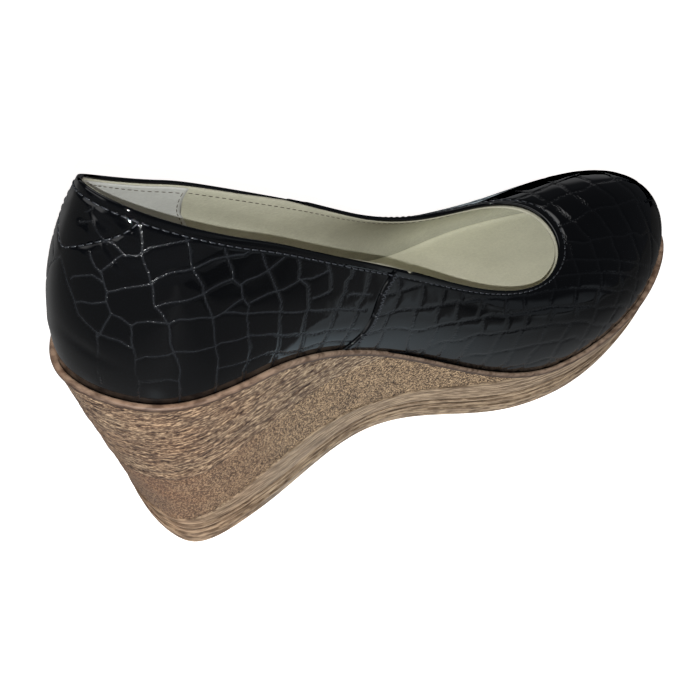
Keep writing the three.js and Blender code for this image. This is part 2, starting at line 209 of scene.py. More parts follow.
def outward(section):
    """Level direction out of the foot line: its run turned by a quarter turn, (run_y, -run_x)."""
    run_x = (on_line("foot_x", section + SMALL) - on_line("foot_x", section - SMALL)) * LAST_LENGTH
    run_y = (on_line("foot_y", section + SMALL) - on_line("foot_y", section - SMALL)) * LAST_WIDTH
    return unit(np.stack([run_y, -run_x, np.zeros_like(run_x)], -1))


def beside_foot(section, out, height):
    """A point out from the foot line by one distance and over the bed by another."""
    section = np.asarray(section, float)
    x, y = seen_from_above("foot", section)
    point = np.stack([x, y, np.zeros_like(x)], -1) + outward(section) * np.asarray(out)[..., None]
    point[..., 2] = bed_height(point[..., 0]) + height
    return point


def wall(section, share):
    """Outer face of the upper: the cubic curve (1-v)^3 F + 3 v (1-v)^2 A + 3 v^2 (1-v) B + v^3 T, where
    F is on the foot line, T on the topline, A is F pulled out and up, and B is T pulled back and down."""
    section, share = np.broadcast_arrays(np.asarray(section, float), np.asarray(share, float))
    up = np.array([0, 0, 1.0])
    foot = beside_foot(section, np.zeros_like(section), FIT_GAP)
    top_x, top_y = seen_from_above("top", section)
    top = np.stack([top_x, top_y, bed_height(top_x) + on_line("top_z", section) * BACK_HEIGHT], -1)
    out = outward(section)
    level = (foot - top) * np.array([1.0, 1.0, 0])
    low = foot + out * (on_line("bulge", section) * LAST_WIDTH)[..., None]
    low = low + up * (on_line("rise", section) * BACK_HEIGHT)[..., None]
    high = top + level * on_line("reach", section)[..., None]
    high = high + out * (on_line("swell", section) * LAST_WIDTH)[..., None]
    high = high - up * (on_line("drop", section) * BACK_HEIGHT)[..., None]
    v = share[..., None]
    return (1 - v)**3 * foot + 3 * v * (1 - v)**2 * low + 3 * v**2 * (1 - v) * high + v**3 * top


def wall_frame(section, share):
    """Unit directions on the wall: along the sections, up the rib, and out of it (their cross product)."""
    low, high = np.maximum(share - SMALL, 0), np.minimum(share + SMALL, 1)
    up = unit(wall(section, high) - wall(section, low))
    along = unit(wall(section + SMALL, share) - wall(section - SMALL, share))
    return along, up, unit(np.cross(along, up))


def run_along(sections, shares):
    """Metres run on the wall from the first of many places to each of them."""
    steps = np.linalg.norm(np.diff(wall(sections, shares), axis=0), axis=-1)
    return np.concatenate([[0], np.cumsum(steps)])


def even_sections(start, end, step, share=.3):
    """Sections from start to end, a step apart in metres on the wall at one share."""
    fine = np.linspace(start, end, 1200)
    run = run_along(fine, share)
    return np.interp(np.linspace(0, run[-1], int(run[-1] / step) + 1), run, fine)


RIM_COUNT = 80  # places round the model's rim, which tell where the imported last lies
rim_sections = np.arange(RIM_COUNT) * SECTIONS / RIM_COUNT
rim_line = beside_foot(rim_sections, np.full(RIM_COUNT, SOLE_LEDGE + RIM_BULGE), 0)
rim_low = np.array(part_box("sole_rim")[0])
PLACE = np.array([rim_low[0] - rim_line[:, 0].min(), rim_low[1] - rim_line[:, 1].min(), 0])
print("the last's own zero lies at (mm)", np.round(PLACE / MM, 2))

# %% [markdown]
# ## Putting a grid into a mesh
# Every piece here is a grid of points in rows and columns, so its faces can be listed by arithmetic.
# The points go in with foreach_set, which takes a whole array at once and needs no loop over vertices.

# %% Grids and meshes
def grid_quads(rows, columns, wrap_rows=False, wrap_columns=False):
    """Corner numbers of every face of a grid whose points are numbered row by row."""
    r = np.arange(rows if wrap_rows else rows - 1)[:, None]
    c = np.arange(columns if wrap_columns else columns - 1)[None, :]
    r_next, c_next = (r + 1) % rows, (c + 1) % columns
    corners = [r * columns + c, r * columns + c_next, r_next * columns + c_next, r_next * columns + c]
    return np.stack(np.broadcast_arrays(*corners), -1).reshape(-1, 4)


def end_faces(rows, columns):
    """The two many-cornered faces that close the first and the last column of a grid of closed rings."""
    first = np.arange(rows)[None, :] * columns
    return [first, first[:, ::-1] + columns - 1]


def new_mesh(name, points, faces, values=None):
    """A mesh from points (n, 3) in the last's frame and a list of face arrays, each (count, corners).
    values maps an attribute's name to one number a point."""
    mesh = bpy.data.meshes.new(name)
    points = np.asarray(points, float).reshape(-1, 3) + PLACE
    corners = np.concatenate([np.asarray(f, np.int32).ravel() for f in faces])
    sizes = np.concatenate([np.full(len(f), np.shape(f)[1], np.int32) for f in faces])
    mesh.vertices.add(len(points))
    mesh.vertices.foreach_set("co", points.astype(np.float32).ravel())
    mesh.loops.add(len(corners))
    mesh.loops.foreach_set("vertex_index", corners)
    mesh.polygons.add(len(sizes))
    mesh.polygons.foreach_set("loop_start", np.cumsum(sizes) - sizes)
    mesh.polygons.foreach_set("use_smooth", np.ones(len(sizes), bool))
    for key, numbers in (values or {}).items():
        layer = mesh.attributes.new(key, "FLOAT", "POINT")
        layer.data.foreach_set("value", np.asarray(numbers, np.float32).ravel())
    mesh.update(calc_edges=True)
    mesh.validate()
    return mesh


def placed(name, data):
    """A new object in the scene."""
    made = bpy.data.objects.new(name, data)
    bpy.context.scene.collection.objects.link(made)
    return made


def new_piece(name, mesh, replaced=(), weld=0):
    """An object that rides on the shoe's one body and stands for the nodes that it replaces."""
    if weld:
        work = bmesh.new()
        work.from_mesh(mesh)
        bmesh.ops.remove_doubles(work, verts=work.verts, dist=weld)
        bmesh.ops.dissolve_degenerate(work, edges=work.edges, dist=weld)
        work.to_mesh(mesh)
        work.free()
    piece = placed(name, mesh)
    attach(piece, "root")
    if replaced:
        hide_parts(*replaced)
    triangles = sum(len(p.vertices) - 2 for p in mesh.polygons)
    print(f"{name}: {triangles} triangles")
    return piece


def lattice_noise(points, cell, seed):
    """A smooth random field from -1 to 1: random values on a lattice whose cells have the three sizes
    given, blended along each direction with t^2 (3 - 2 t)."""
    values = np.random.default_rng(seed).uniform(-1, 1, (64, 64, 64))
    spot = points / np.array(cell) + 500
    corner = np.floor(spot).astype(int)
    part = ease(spot - corner)
    total = np.zeros(points.shape[:-1])
    for i in (0, 1):
        for j in (0, 1):
            for k in (0, 1):
                x, y, z = (corner + np.array([i, j, k])).transpose(-1, *range(points.ndim - 1)) % 64
                weight = np.prod(np.abs(np.array([1 - i, 1 - j, 1 - k]) - part), axis=-1)
                total = total + values[x, y, z] * weight
    return total


def relief_of(points, *kinds):
    """The sum of several noises, each given by its height in mm, the three sizes of its cell in mm, and
    its seed."""
    return sum(height * lattice_noise(points, np.array(cell) * MM, seed) for height, cell, seed in kinds) * MM


def bump_at(distance, width):
    """A soft ridge across a line: exp(-(distance / width)^2)."""
    return np.exp(-(distance / width)**2)


# %% [markdown]
# ## Where the scales lie
# The leather is pressed with a reptile pattern of four- and five-sided scales, parted by narrow grooves.
# On the heel the scales are large and no two are alike, so each groove there is a line drawn on the
# wall. On the forefoot they are small and even, so two counts make them: a column count along the
# shoe and a row count over it, with a groove wherever one of them is a whole number.

# %% Grooves drawn on the heel
# Each groove is a line of points (section, share of the rib) on the inner side
QUARTER_GROOVES = (
    ((.08, .64), (.25, .57), (.4, .5), (.45, .45), (.62, .41), (.7, .39), (.7, .32), (.66, .24), (.66, .1)),
    ((.62, .75), (.72, .7), (.82, .68), (.88, .605), (.87, .56), (.91, .515), (1.05, .5), (1.15, .475),
     (1.12, .4), (1.13, .32), (1.1, .23), (1.12, .15), (1.08, .03)),
    ((.91, .51), (.85, .47), (.77, .41), (.71, .37)),
    ((1.42, .95), (1.43, .87), (1.41, .82), (1.45, .74), (1.47, .69), (1.46, .6), (1.52, .55), (1.55, .5),
     (1.53, .4), (1.57, .32), (1.58, .25), (1.55, .15), (1.55, .03)),
    ((1.94, .96), (1.95, .9), (1.93, .8), (1.97, .71), (1.95, .67), (1.97, .6), (1.98, .53), (1.95, .45),
     (1.93, .36), (1.94, .28), (1.91, .2), (1.9, .04)),
    ((2.28, .96), (2.28, .8), (2.26, .75), (2.3, .71), (2.27, .64), (2.3, .58), (2.25, .5), (2.21, .38),
     (2.2, .28), (2.16, .19), (2.13, .12), (2.14, .02)),
    ((2.58, .96), (2.58, .82), (2.58, .66), (2.55, .56), (2.5, .48), (2.46, .4), (2.43, .31), (2.4, .2),
     (2.36, .12), (2.35, .02)),
    ((2.89, .96), (2.87, .85), (2.82, .77), (2.86, .7), (2.82, .62), (2.75, .5), (2.66, .4), (2.6, .28),
     (2.57, .17), (2.54, .02)),
    ((3.16, .96), (3.16, .85), (3.12, .75), (3.07, .69), (2.98, .65), (2.85, .6)),
    ((3.42, .95), (3.4, .88), (3.3, .8), (3.23, .7), (3.13, .62), (3.04, .53), (2.95, .46), (2.85, .31),
     (2.77, .2), (2.72, .1), (2.7, .02)),
    ((3.6, .92), (3.52, .8), (3.43, .7), (3.3, .6), (3.2, .5), (3.1, .38), (3, .26), (2.92, .14),
     (2.86, .03)),
    ((1.12, .17), (1.3, .185), (1.46, .19), (1.56, .18)),
    ((1.91, .21), (2.08, .195), (2.18, .19), (2.3, .185), (2.38, .155), (2.45, .12), (2.56, .105),
     (2.7, .125), (2.9, .125), (3.05, .13)),
    ((.71, .39), (.85, .385), (1, .385), (1.12, .36)),
    ((1.13, .3), (1.25, .33), (1.4, .335), (1.5, .345), (1.56, .36), (1.74, .355), (1.93, .36), (1.99, .375),
     (2.1, .365), (2.22, .365), (2.37, .33), (2.45, .285), (2.58, .26), (2.66, .235), (2.8, .255),
     (3.1, .27)),
    ((1.15, .475), (1.22, .5), (1.35, .515), (1.55, .51), (1.67, .535), (1.86, .542), (1.98, .53),
     (2.08, .557), (2.17, .59), (2.27, .63)),
    ((2.08, .557), (2.25, .53), (2.37, .517), (2.5, .49), (2.53, .475), (2.68, .463), (2.76, .47),
     (2.92, .475), (3, .495), (3.3, .52)),
    ((.42, .5), (.5, .515), (.65, .525), (.75, .54), (.87, .56)),
    ((.3, .59), (.35, .61), (.5, .635), (.66, .655), (.78, .65), (.84, .64)),
    ((.88, .605), (1.1, .645), (1.3, .67), (1.47, .7), (1.55, .73), (1.7, .765), (1.85, .785), (1.95, .805),
     (2.13, .855), (2.25, .882), (2.43, .91), (2.5, .945)),
    ((1.46, .59), (1.55, .61), (1.74, .63), (1.94, .665), (2.03, .695), (2.15, .73), (2.26, .757)),
    ((2.3, .72), (2.37, .75), (2.46, .77), (2.58, .81), (2.68, .87), (2.76, .92)),
    ((2.32, .6), (2.42, .63), (2.51, .65), (2.65, .68), (2.75, .72), (2.82, .755), (2.93, .78), (3.05, .83),
     (3.16, .88)),
    ((.82, .69), (.95, .73), (1.08, .775), (1.17, .795)),
    ((.84, .82), (1.02, .83), (1.12, .815), (1.2, .795), (1.35, .81), (1.42, .83), (1.52, .86), (1.75, .9),
     (1.95, .935), (2.03, .96)),
    ((3.23, .665), (3.3, .69), (3.5, .71)),
    ((.3, .85), (.45, .865), (.62, .885), (.72, .86), (.87, .825)),
    ((.4, .9), (.5, .915), (.6, .935), (.7, .965)),
)
LINE_WANDER = .3 * MM  # how far noise bends a groove
WANDER_CELL = 4 * MM
REACH = 5 * MM  # no groove is looked for farther than this from a point
OUTER_SHIFT = (.12, .03)  # how far the outer side's grooves lie from mirrored ones, in sections and shares
QUARTER_TILT = .03 * MM


def rib_lengths():
    """Length of every rib, in metres, at a hundred places between two sections."""
    ribs = wall(FINE_SECTIONS[None, :], np.linspace(0, 1, 101)[:, None])
    return np.linalg.norm(np.diff(ribs, axis=0), axis=-1).sum(0)


FINE_SECTIONS = np.linspace(0, SECTIONS, 1601)
RIB_LENGTH = rib_lengths()


def rib_length(section):
    """Length of the rib at a section, in metres."""
    return np.interp(np.mod(section, SECTIONS), FINE_SECTIONS, RIB_LENGTH)


def quarter_edges(section, share, points):
    """Metres from each point to the nearest groove of the heel. Each groove is cut into short straight
    pieces on the wall, and the foot of a point on a piece is t = (point - start) . run / run . run. The
    outer side's are mirrored and moved by sine waves, so that no scale is quite the same."""
    bend = np.stack([lattice_noise(points, (WANDER_CELL,) * 3, seed) for seed in (51, 52, 53)], -1)
    out = wall_frame(section, share)[2]
    bent = points + LINE_WANDER * (bend - out * (bend * out).sum(-1, keepdims=True))
    nearest = np.full(points.shape[:-1], 4 * MM)
    for line in QUARTER_GROOVES:
        at, up = np.array(line, float).T
        fine = np.linspace(0, len(at) - 1, 3 * len(at) - 2)
        at, up = np.interp(fine, np.arange(len(at)), at), np.interp(fine, np.arange(len(up)), up)
        moved = -at - OUTER_SHIFT[0] * np.sin(2.6 * at + 7 * up), up + OUTER_SHIFT[1] * np.sin(5 * at)
        for spots in (wall(at, up), wall(*moved)):
            low, high = spots.min(0) - REACH, spots.max(0) + REACH
            close = np.nonzero(((bent > low) & (bent < high)).all(-1))
            run = spots[1:] - spots[:-1]
            away = bent[close][:, None] - spots[:-1]
            t = np.clip((away * run).sum(-1) / (run * run).sum(-1), 0, 1)
            distance = np.linalg.norm(away - t[..., None] * run, axis=-1).min(1)
            nearest[close] = np.minimum(nearest[close], distance)
    return nearest, QUARTER_TILT * lattice_noise(points, (9 * MM,) * 3, 54)


print("grooves drawn on the heel:", len(QUARTER_GROOVES), " rib at the back (mm):", round(RIB_LENGTH[0] / MM))

# %% Two counts that make the vamp's scales
# The vamp's top line, run on behind the throat
VAMP_RIDGE = {"x": 180.5 * MM, "y": 2 * MM, "z": 53 * MM, "fall": .49}
RIDGE_SIDES = ((-12, 0, 10, 28), (-1, 0, 0, 1))  # mm beside it, and how much the height counts there
VAMP_COLUMN = 10.4 * MM  # length of a scale
FIRST_COLUMN = 190 * MM  # x at which the count of columns is 0
TOP_ROW = 10 * MM  # width of a scale over the toe, and down the side
SIDE_ROW = 8 * MM
TOP_WIDTH = 30 * MM  # girth at which the one gives way to the other
ROW_FALL = .15  # how fast a row comes nearer to the ridge toward the toe, behind this x
ROW_LEVEL = 160 * MM
COLUMN_TURN = 22 * MM  # girth from which the columns bend back toward the heel
COLUMN_LEAN = ((100, 145), (.12, .35))  # x in mm and how far they run back for each unit of girth
WAVER = ((15, .2), (6, .12))  # cell in mm and push in scales, of the noise that bends the lines
ROW_SHIFT = .16  # greatest shift of one row of columns against the next
SCALE_TILT = .007  # greatest slope of one scale against its neighbours
HALF_SCALE = 6 * MM  # greatest distance from a scale's middle that its slope is worked out for


def vamp_counts(points):
    """The vamp's leather crosses the foot like a flat sheet bent over a falling ridge. Its girth from the
    ridge is |y| + (ridge z - z), and behind the ball it counts for less. Row: girth over the width of a
    scale. Column: (x + lean (girth - turn)) over the length of one."""
    x, y, z = points[..., 0], points[..., 1] - VAMP_RIDGE["y"], points[..., 2]
    ridge = VAMP_RIDGE["z"] - VAMP_RIDGE["fall"] * (x - VAMP_RIDGE["x"])
    girth = y + np.interp(y / MM, *RIDGE_SIDES) * np.maximum(0, ridge - z)
    width = np.abs(girth)
    lean = np.interp(x / MM, *COLUMN_LEAN)
    column = (x + lean * np.maximum(0, width - COLUMN_TURN) - FIRST_COLUMN) / VAMP_COLUMN
    near_ridge = width - ROW_FALL * np.maximum(0, ROW_LEVEL - x)
    row = np.minimum(near_ridge, TOP_WIDTH) / TOP_ROW + np.maximum(0, near_ridge - TOP_WIDTH) / SIDE_ROW
    row = row * np.sign(girth)
    for number, (cell, push) in enumerate(WAVER):
        column = column + push * lattice_noise(points, (cell * MM,) * 3, 71 + number)
        row = row + push * lattice_noise(points, (cell * MM,) * 3, 81 + number)
    return column, row


def steepness(count, points):
    """How fast a count grows on the surface, per metre, for a grid of points. With E, F and G the dot
    products of the grid's two steps, it is sqrt((G i^2 - 2 F i j + E j^2) / (E G - F^2))."""
    down, across = np.gradient(points, axis=0), np.gradient(points, axis=1)
    i, j = np.gradient(count, axis=0), np.gradient(count, axis=1)
    e, f, g = (down * down).sum(-1), (down * across).sum(-1), (across * across).sum(-1)
    return np.sqrt(np.maximum((g * i * i - 2 * f * i * j + e * j * j) / np.maximum(e * g - f * f, 1e-24), 1))


def vamp_edges(section, share, points):
    """Metres to the nearest column line or row line, and the tilted height that each scale has of its
    own, from a random slope for its whole numbers."""
    column, row = vamp_counts(points)
    column_rate, row_rate = steepness(column, points), steepness(row, points)
    chance = np.random.default_rng(5).uniform(-1, 1, (3, 128, 128))
    column = column + ROW_SHIFT * chance[0, 0, np.floor(row).astype(int) % 128]
    which = np.floor(column).astype(int) % 128, np.floor(row).astype(int) % 128
    edges, tilt = [], 0
    for number, (count, rate) in enumerate(((column, column_rate), (row, row_rate))):
        edges.append(np.abs(count - np.round(count)) / rate)
        from_middle = np.clip((count - np.floor(count) - .5) / rate, -HALF_SCALE, HALF_SCALE)
        tilt = tilt + chance[1 + number][which] * from_middle
    return np.minimum(*edges), SCALE_TILT * tilt


# %% [markdown]
# ## Seams, folds and stitch lines
# The vamp, which covers the front, laps over the quarter, which wraps the heel, with a folded edge and
# a row of stitches on each side. The collar is folded in and stitched all round. At the back a second
# row of stitches, which holds the heel grip inside, dips down the leather. These lines are given one by one.

# %% Seams and stitch lines
SEAM_REACH = 2.2
INNER_EDGE = 3.375  # section of the vamp's folded edge at half height, on the inner side
OUTER_EDGE = SECTIONS - INNER_EDGE
LAP = .17  # how far the quarter runs on under the vamp, in sections
LEATHER = 1.45 * MM  # the leather with its edge folded in
COLLAR_STITCH = 2.6 * MM  # below the topline
HEEL_STITCH_END = 1.42  # section where the heel's stitch line meets the collar's
HEEL_STITCH = (  # sections, and mm below the topline
    (0, .16, .53, .83, 1.04, 1.26, HEEL_STITCH_END), (19, 17.4, 14, 11, 9, 6, 2.6))


def leaning(section, share):
    """Sections near a seam lean with it: by (share - 1/2) (1 - (distance / reach)^2)^2 each way."""
    moved = section + 0 * share
    for edge, lean in ((INNER_EDGE, 1), (OUTER_EDGE, -1)):
        away = from_back(section - edge) / SEAM_REACH
        moved = moved + lean * (share - .5) * np.maximum(0, 1 - away**2)**2
    return moved


def heel_stitch_drop(section):
    """Depth of the heel's stitch line below the topline, in metres, the same on both sides."""
    return np.interp(np.abs(from_back(section)), *HEEL_STITCH) * MM


FOLD_SECTION = 38 * MM  # of wall between two sections, round the heel
# Soft folds of the heel: section, share of the rib, half length and half width in mm, turn in degrees
# from level, and height in mm (negative for a trough)
FOLDS = (
    (.75, .86, 9, 1.6, -18, .35),
    (.95, .80, 8, 1.8, -30, -.4),
    (.60, .78, 7, 1.5, 12, -.3),
    (1.2, .90, 6, 1.2, -8, .3),
    (.35, .88, 8, 1.8, 5, -.25),
    (-.5, .84, 9, 1.8, 15, .3),
    (-.8, .78, 7, 1.6, 28, -.35),
    (.55, .27, 12, 2.2, -8, -.25),
    (-.3, .22, 12, 2.4, 6, .2),
)


def folds(section, share):
    """Sum of soft ridges: height exp(-(along / length)^2 - (across / width)^2) in the wall's own plane."""
    total = np.zeros(np.broadcast(section, share).shape)
    for at, level, length, width, turn, height in FOLDS:
        along = (from_back(section) - at) * FOLD_SECTION
        up = (share - level) * rib_length(section)
        c, s = np.cos(np.radians(turn)), np.sin(np.radians(turn))
        lengthwise, across = along * c + up * s, up * c - along * s
        total = total + height * MM * bump_at(lengthwise, length * MM) * bump_at(across, width * MM)
    return total


CRUMPLED = (.95, .87, 15, 8, .13)  # section, share, half length and half width in mm, and height in mm


def crumples(section, share, points):
    """Noise of 2.4 mm cells in one soft-edged patch where the heel is trodden down when it is put on."""
    at, level, length, width, height = CRUMPLED
    along = (from_back(section) - at) * FOLD_SECTION
    patch = bump_at(along, length * MM) * bump_at((share - level) * rib_length(section), width * MM)
    return height * MM * patch * lattice_noise(points, (2.4 * MM,) * 3, 95)


GROOVE_DEPTH = .24 * MM
GROOVE_WIDTH = .36 * MM  # at the heel, and GROOVE_WIDER times this on the vamp
GROOVE_WIDER = 1.6
GROOVE_GLOSSIER = .5  # how much less dull the grooves are on the vamp
GROOVE_WRINKLE = .06 * MM
SCALE_CROWN = .05 * MM
CROWN_REACH = 1.3 * MM
# Start and span of what ends softly: the flat collar in metres below the topline, and the smooth counter
# in sections from the back and in shares of the rib
FLAT_COLLAR = (2.2 * MM, 1.4 * MM)
COUNTER_SIDE = (.9, .8)
COUNTER_TOP = (.22, .16)
STITCH_TROUGH = .22 * MM


def embossing(section, share, points, edges):
    """Height of the leather over the plain wall, and how deep in a groove each point is, 0 to 1. edges
    gives the distance to the nearest groove and each scale's own tilt."""
    edge, tilt = edges(section, share, points)
    below_top = (1 - share) * rib_length(section)
    side = np.abs(from_back(section))
    flat_collar = eased_out(below_top, *FLAT_COLLAR)
    above_heel_stitch = ease((heel_stitch_drop(section) - below_top) / (2 * MM)) * (side < HEEL_STITCH_END)
    smooth_counter = eased_out(side, *COUNTER_SIDE) * eased_out(share, *COUNTER_TOP)
    strength = (1 - flat_collar) * (1 - .35 * above_heel_stitch) * (1 - .5 * smooth_counter)
    ahead = ease((side - 3) / 1.5)
    depth = bump_at(edge, GROOVE_WIDTH * (1 + (GROOVE_WIDER - 1) * ahead))
    crown = SCALE_CROWN * (1 - np.exp(-edge / CROWN_REACH))
    tilt = tilt * ease(edge / (1.2 * MM))
    wrinkles = GROOVE_WRINKLE * lattice_noise(points, (1.1 * MM,) * 3, 91)
    height = strength * (crown + tilt - (GROOVE_DEPTH + wrinkles) * depth)
    collar = bump_at(below_top - COLLAR_STITCH, .55 * MM)
    heel = bump_at(below_top - heel_stitch_drop(section), .6 * MM) * (side < HEEL_STITCH_END)
    height = height - STITCH_TROUGH * np.maximum(collar, heel) + folds(section, share)
    height = height + (1 - flat_collar) * crumples(section, share, points)
    return height, depth * strength * (1 - GROOVE_GLOSSIER * ahead)


def near_edges(sections):
    """Adds columns close to both ends, where a folded edge turns down."""
    finer = np.array([.002, .005, .009, .014, .02, .03])
    return np.unique(np.concatenate([sections, sections[0] + finer, sections[-1] - finer]))


def panel(name, sections, shares, edges, lift, under, fades, inner_rows=14):
    """A closed sheet of leather: outer face (wall + normal (lift + embossing)), rolled over the topline
    in a half circle, inner face (wall - normal under), and a many-cornered face at each end. edges is
    the panel's own scale pattern. lift, under and fades give, for each column's section, the two faces
    and how much of the embossing is left."""
    place = leaning(sections[None, :], shares[:, None])
    share = np.broadcast_to(shares[:, None], place.shape)
    points = wall(place, share)
    along, up, out = wall_frame(place, share)
    height, depth = embossing(place, share, points, edges)
    height = height * fades(sections)
    raised, lowered = lift(sections), under(sections)
    outer = points + out * (raised + height)[..., None]
    roll = np.radians(np.arange(15, 180, 15))[:, None, None]
    radius = (raised + lowered) / 2
    middle = points[-1] + out[-1] * (raised - radius)[:, None]
    turned = middle + (out[-1] * np.cos(roll) + up[-1] * np.sin(roll)) * radius[:, None]
    inner_shares = np.linspace(shares[-1], 0, inner_rows)
    inner_place = leaning(sections[None, :], inner_shares[:, None])
    inner_share = np.broadcast_to(inner_shares[:, None], inner_place.shape)
    inner_out = wall_frame(inner_place, inner_share)[2]
    inner = wall(inner_place, inner_share) - inner_out * lowered[None, :, None]
    rings = np.concatenate([outer, turned, inner])
    rows, columns = rings.shape[:2]
    faces = [grid_quads(rows, columns, wrap_rows=True), *end_faces(rows, columns)]
    groove = np.concatenate([depth, np.zeros((rows - len(depth), columns))])
    return new_mesh(name, rings, faces, {"groove": groove})


print("stitch line at the back (mm below the topline):", heel_stitch_drop(np.array([0.0]))[0] / MM)

# %% [markdown]
# ## The quarter and the vamp
# Real panels are cut flat and pulled over the last. Here each is a sheet with its own thickness. The
# quarter stays on the wall and runs on a little under the vamp. The vamp starts higher, because it lies
# on the quarter, and comes down to the wall within four centimetres. Its edge turns down like a folded one.

# %% Leather panels
QUARTER_STEP = .5 * MM
QUARTER_ROWS = 150
VAMP_STEP = .58 * MM
VAMP_ROWS = 132
PANEL_TOP = .991  # share at which a panel begins to roll over the topline
SECTION_LENGTH = 36 * MM  # of wall between two sections, near the seams
EDGE_LIFT = .7 * MM
EDGE_ROUND = .55 * MM
EDGE_TAPER = 40 * MM
LAP_GAP = .04 * MM
LAP_SLOPE = 3 * MM  # in which the vamp's inner face comes down past the quarter's end
FOLD_FADE = 1.2 * MM  # in which the embossing begins beside the folded edge


def from_edge(sections):
    """Metres from the nearer folded edge, positive toward the toe."""
    return np.minimum(sections - INNER_EDGE, OUTER_EDGE - sections) * SECTION_LENGTH


def vamp_lift(sections):
    """Height over the wall: EDGE_LIFT at the edge, eased to nothing, less a quarter round at the edge."""
    away = from_edge(sections)
    inside = np.clip(EDGE_ROUND - away, 0, EDGE_ROUND)
    turned_down = EDGE_ROUND - np.sqrt(EDGE_ROUND**2 - inside**2)
    return EDGE_LIFT * (1 - ease(away / EDGE_TAPER)) - turned_down


def vamp_under(sections):
    """Depth of the inner face: over the quarter where they lap, then down to the leather's thickness."""
    past_lap = ease((from_edge(sections) - LAP * SECTION_LENGTH) / LAP_SLOPE)
    return -LAP_GAP + (LEATHER + LAP_GAP) * past_lap


def past_seam(sections):
    """1 where the quarter lies under the vamp, 0 where it is seen."""
    return ease((np.abs(sections) - INNER_EDGE) / .01)


quarter_sections = even_sections(-INNER_EDGE - LAP, INNER_EDGE + LAP, QUARTER_STEP)
vamp_sections = near_edges(even_sections(INNER_EDGE, OUTER_EDGE, VAMP_STEP))
quarter = new_piece(
    "quarter",
    panel("quarter", quarter_sections, np.linspace(0, PANEL_TOP, QUARTER_ROWS), quarter_edges,
          lambda s: -LAP_GAP * past_seam(s), lambda s: LEATHER + 0 * s, lambda s: 1 - past_seam(s)),
    ["upper"])
vamp = new_piece(
    "vamp",
    panel("vamp", vamp_sections, np.linspace(0, PANEL_TOP, VAMP_ROWS), vamp_edges,
          vamp_lift, vamp_under, lambda s: ease(from_edge(s) / FOLD_FADE)),
    ["upper"])

# %% [markdown]
# ## The lining, the heel grip and the sock
# A pale lining stands inside the leather, and its cut edge shows as a thin light line round the throat.
# A suede grip is stitched inside the heel. The sock covers the insole board that the foot stands on.
# Soft creases are set one by one where the foot has pressed and bent them.

# %% Inside of the shoe
LINING_FRONT = LEATHER + .05 * MM
LINING_DROP = ((2.9, 3.3, 3.7, 4.5, 5.5), (1, .3, .9, .4, 0))  # section, and mm down to its edge
GRIP_FRONT = ((.3, .6, 1), (2.62, 2.7, 2.85))  # share of the rib, and section of the grip's front edge
GRIP_THICKNESS = .45 * MM
GRIP_GRID = (50, 190)
GRIP_SHARES = (.1, .985)
LINING_STEP = 1.5 * MM
LINING_ROUND = .9 * MM
INSOLE_EDGE = WALL + FIT_GAP


def grip_front(share):
    """Section of the grip's front edge at a share of the rib, on the inner side."""
    return np.interp(share, *GRIP_FRONT)


def sheet_on_wall(place, share, near, far, top_round, closed_ring):
    """A closed sheet between two depths inside the wall, over a grid of sections and shares, its top
    edge rounded over by top_round."""
    points, (_, up, out) = wall(place, share), wall_frame(place, share)
    outside = points - out * near
    inside = points[::-1] - out[::-1] * far
    crest = points[-1:] - out[-1:] * (near + far) / 2 + up[-1:] * top_round
    rings = np.concatenate([outside, crest, inside])
    rows, columns = rings.shape[:2]
    faces = [grid_quads(rows, columns, wrap_rows=True, wrap_columns=closed_ring)]
    if not closed_ring:
        faces += end_faces(rows, columns)
    return rings, faces


ring_sections = even_sections(0, SECTIONS, LINING_STEP)[:-1]
lining_drop = np.interp(np.abs(from_back(ring_sections)), *LINING_DROP) * MM
shares = np.linspace(0, 1, 24)[:, None] * (1 - lining_drop / rib_length(ring_sections))
rings, faces = sheet_on_wall(leaning(ring_sections, shares), shares, LINING_FRONT, WALL, LINING_ROUND, True)
lining = new_piece("lining", new_mesh("lining", rings, faces), ["upper"])

shares = np.linspace(*GRIP_SHARES, GRIP_GRID[0])[:, None] + np.zeros(GRIP_GRID[1])
grip_place = np.linspace(-1, 1, GRIP_GRID[1]) * grip_front(shares)
rings, faces = sheet_on_wall(grip_place, shares, WALL + .02 * MM, WALL + GRIP_THICKNESS, 0, False)
heel_grip = new_piece("heel_grip", new_mesh("heel_grip", rings, faces))


SPINE_ENDS = (.14, .86)
SPINE = ((.14, .33, .49, .67, .83), (0, .012, .03, .045, .05))  # shares of the length and of the width


def spine_of(ring):
    """For each point of a ring round the shoe, the point of the middle line beside it: the same x, kept
    between the heel's and the toe's middle, and the foot line's middle y there."""
    x = np.clip(ring[:, 0], SPINE_ENDS[0] * LAST_LENGTH, SPINE_ENDS[1] * LAST_LENGTH)
    return np.stack([x, np.interp(x / LAST_LENGTH, *SPINE) * LAST_WIDTH, np.zeros_like(x)], -1)


def filled(ring, height, steps):
    """Rings from an edge ring in to the middle line, each point at the height that x gives."""
    share = np.linspace(0, 1, steps + 1)[1:, None, None]
    points = ring[None] * (1 - share) + spine_of(ring)[None] * share
    points[..., 2] = height(points)
    return points


# Creases across the sock: x of the middle, how far the ends run back, width and height in mm
SOCK_CREASES = (
    (141, 6, 3.5, -.28), (152, 7, 4, .16), (166, 9, 3, -.22), (118, 3, 5, -.15), (181, 11, 4, .12))
HEEL_DIMPLE = (34, 2, 17, -.7)  # x, y, radius and depth in mm, where the heel has stood


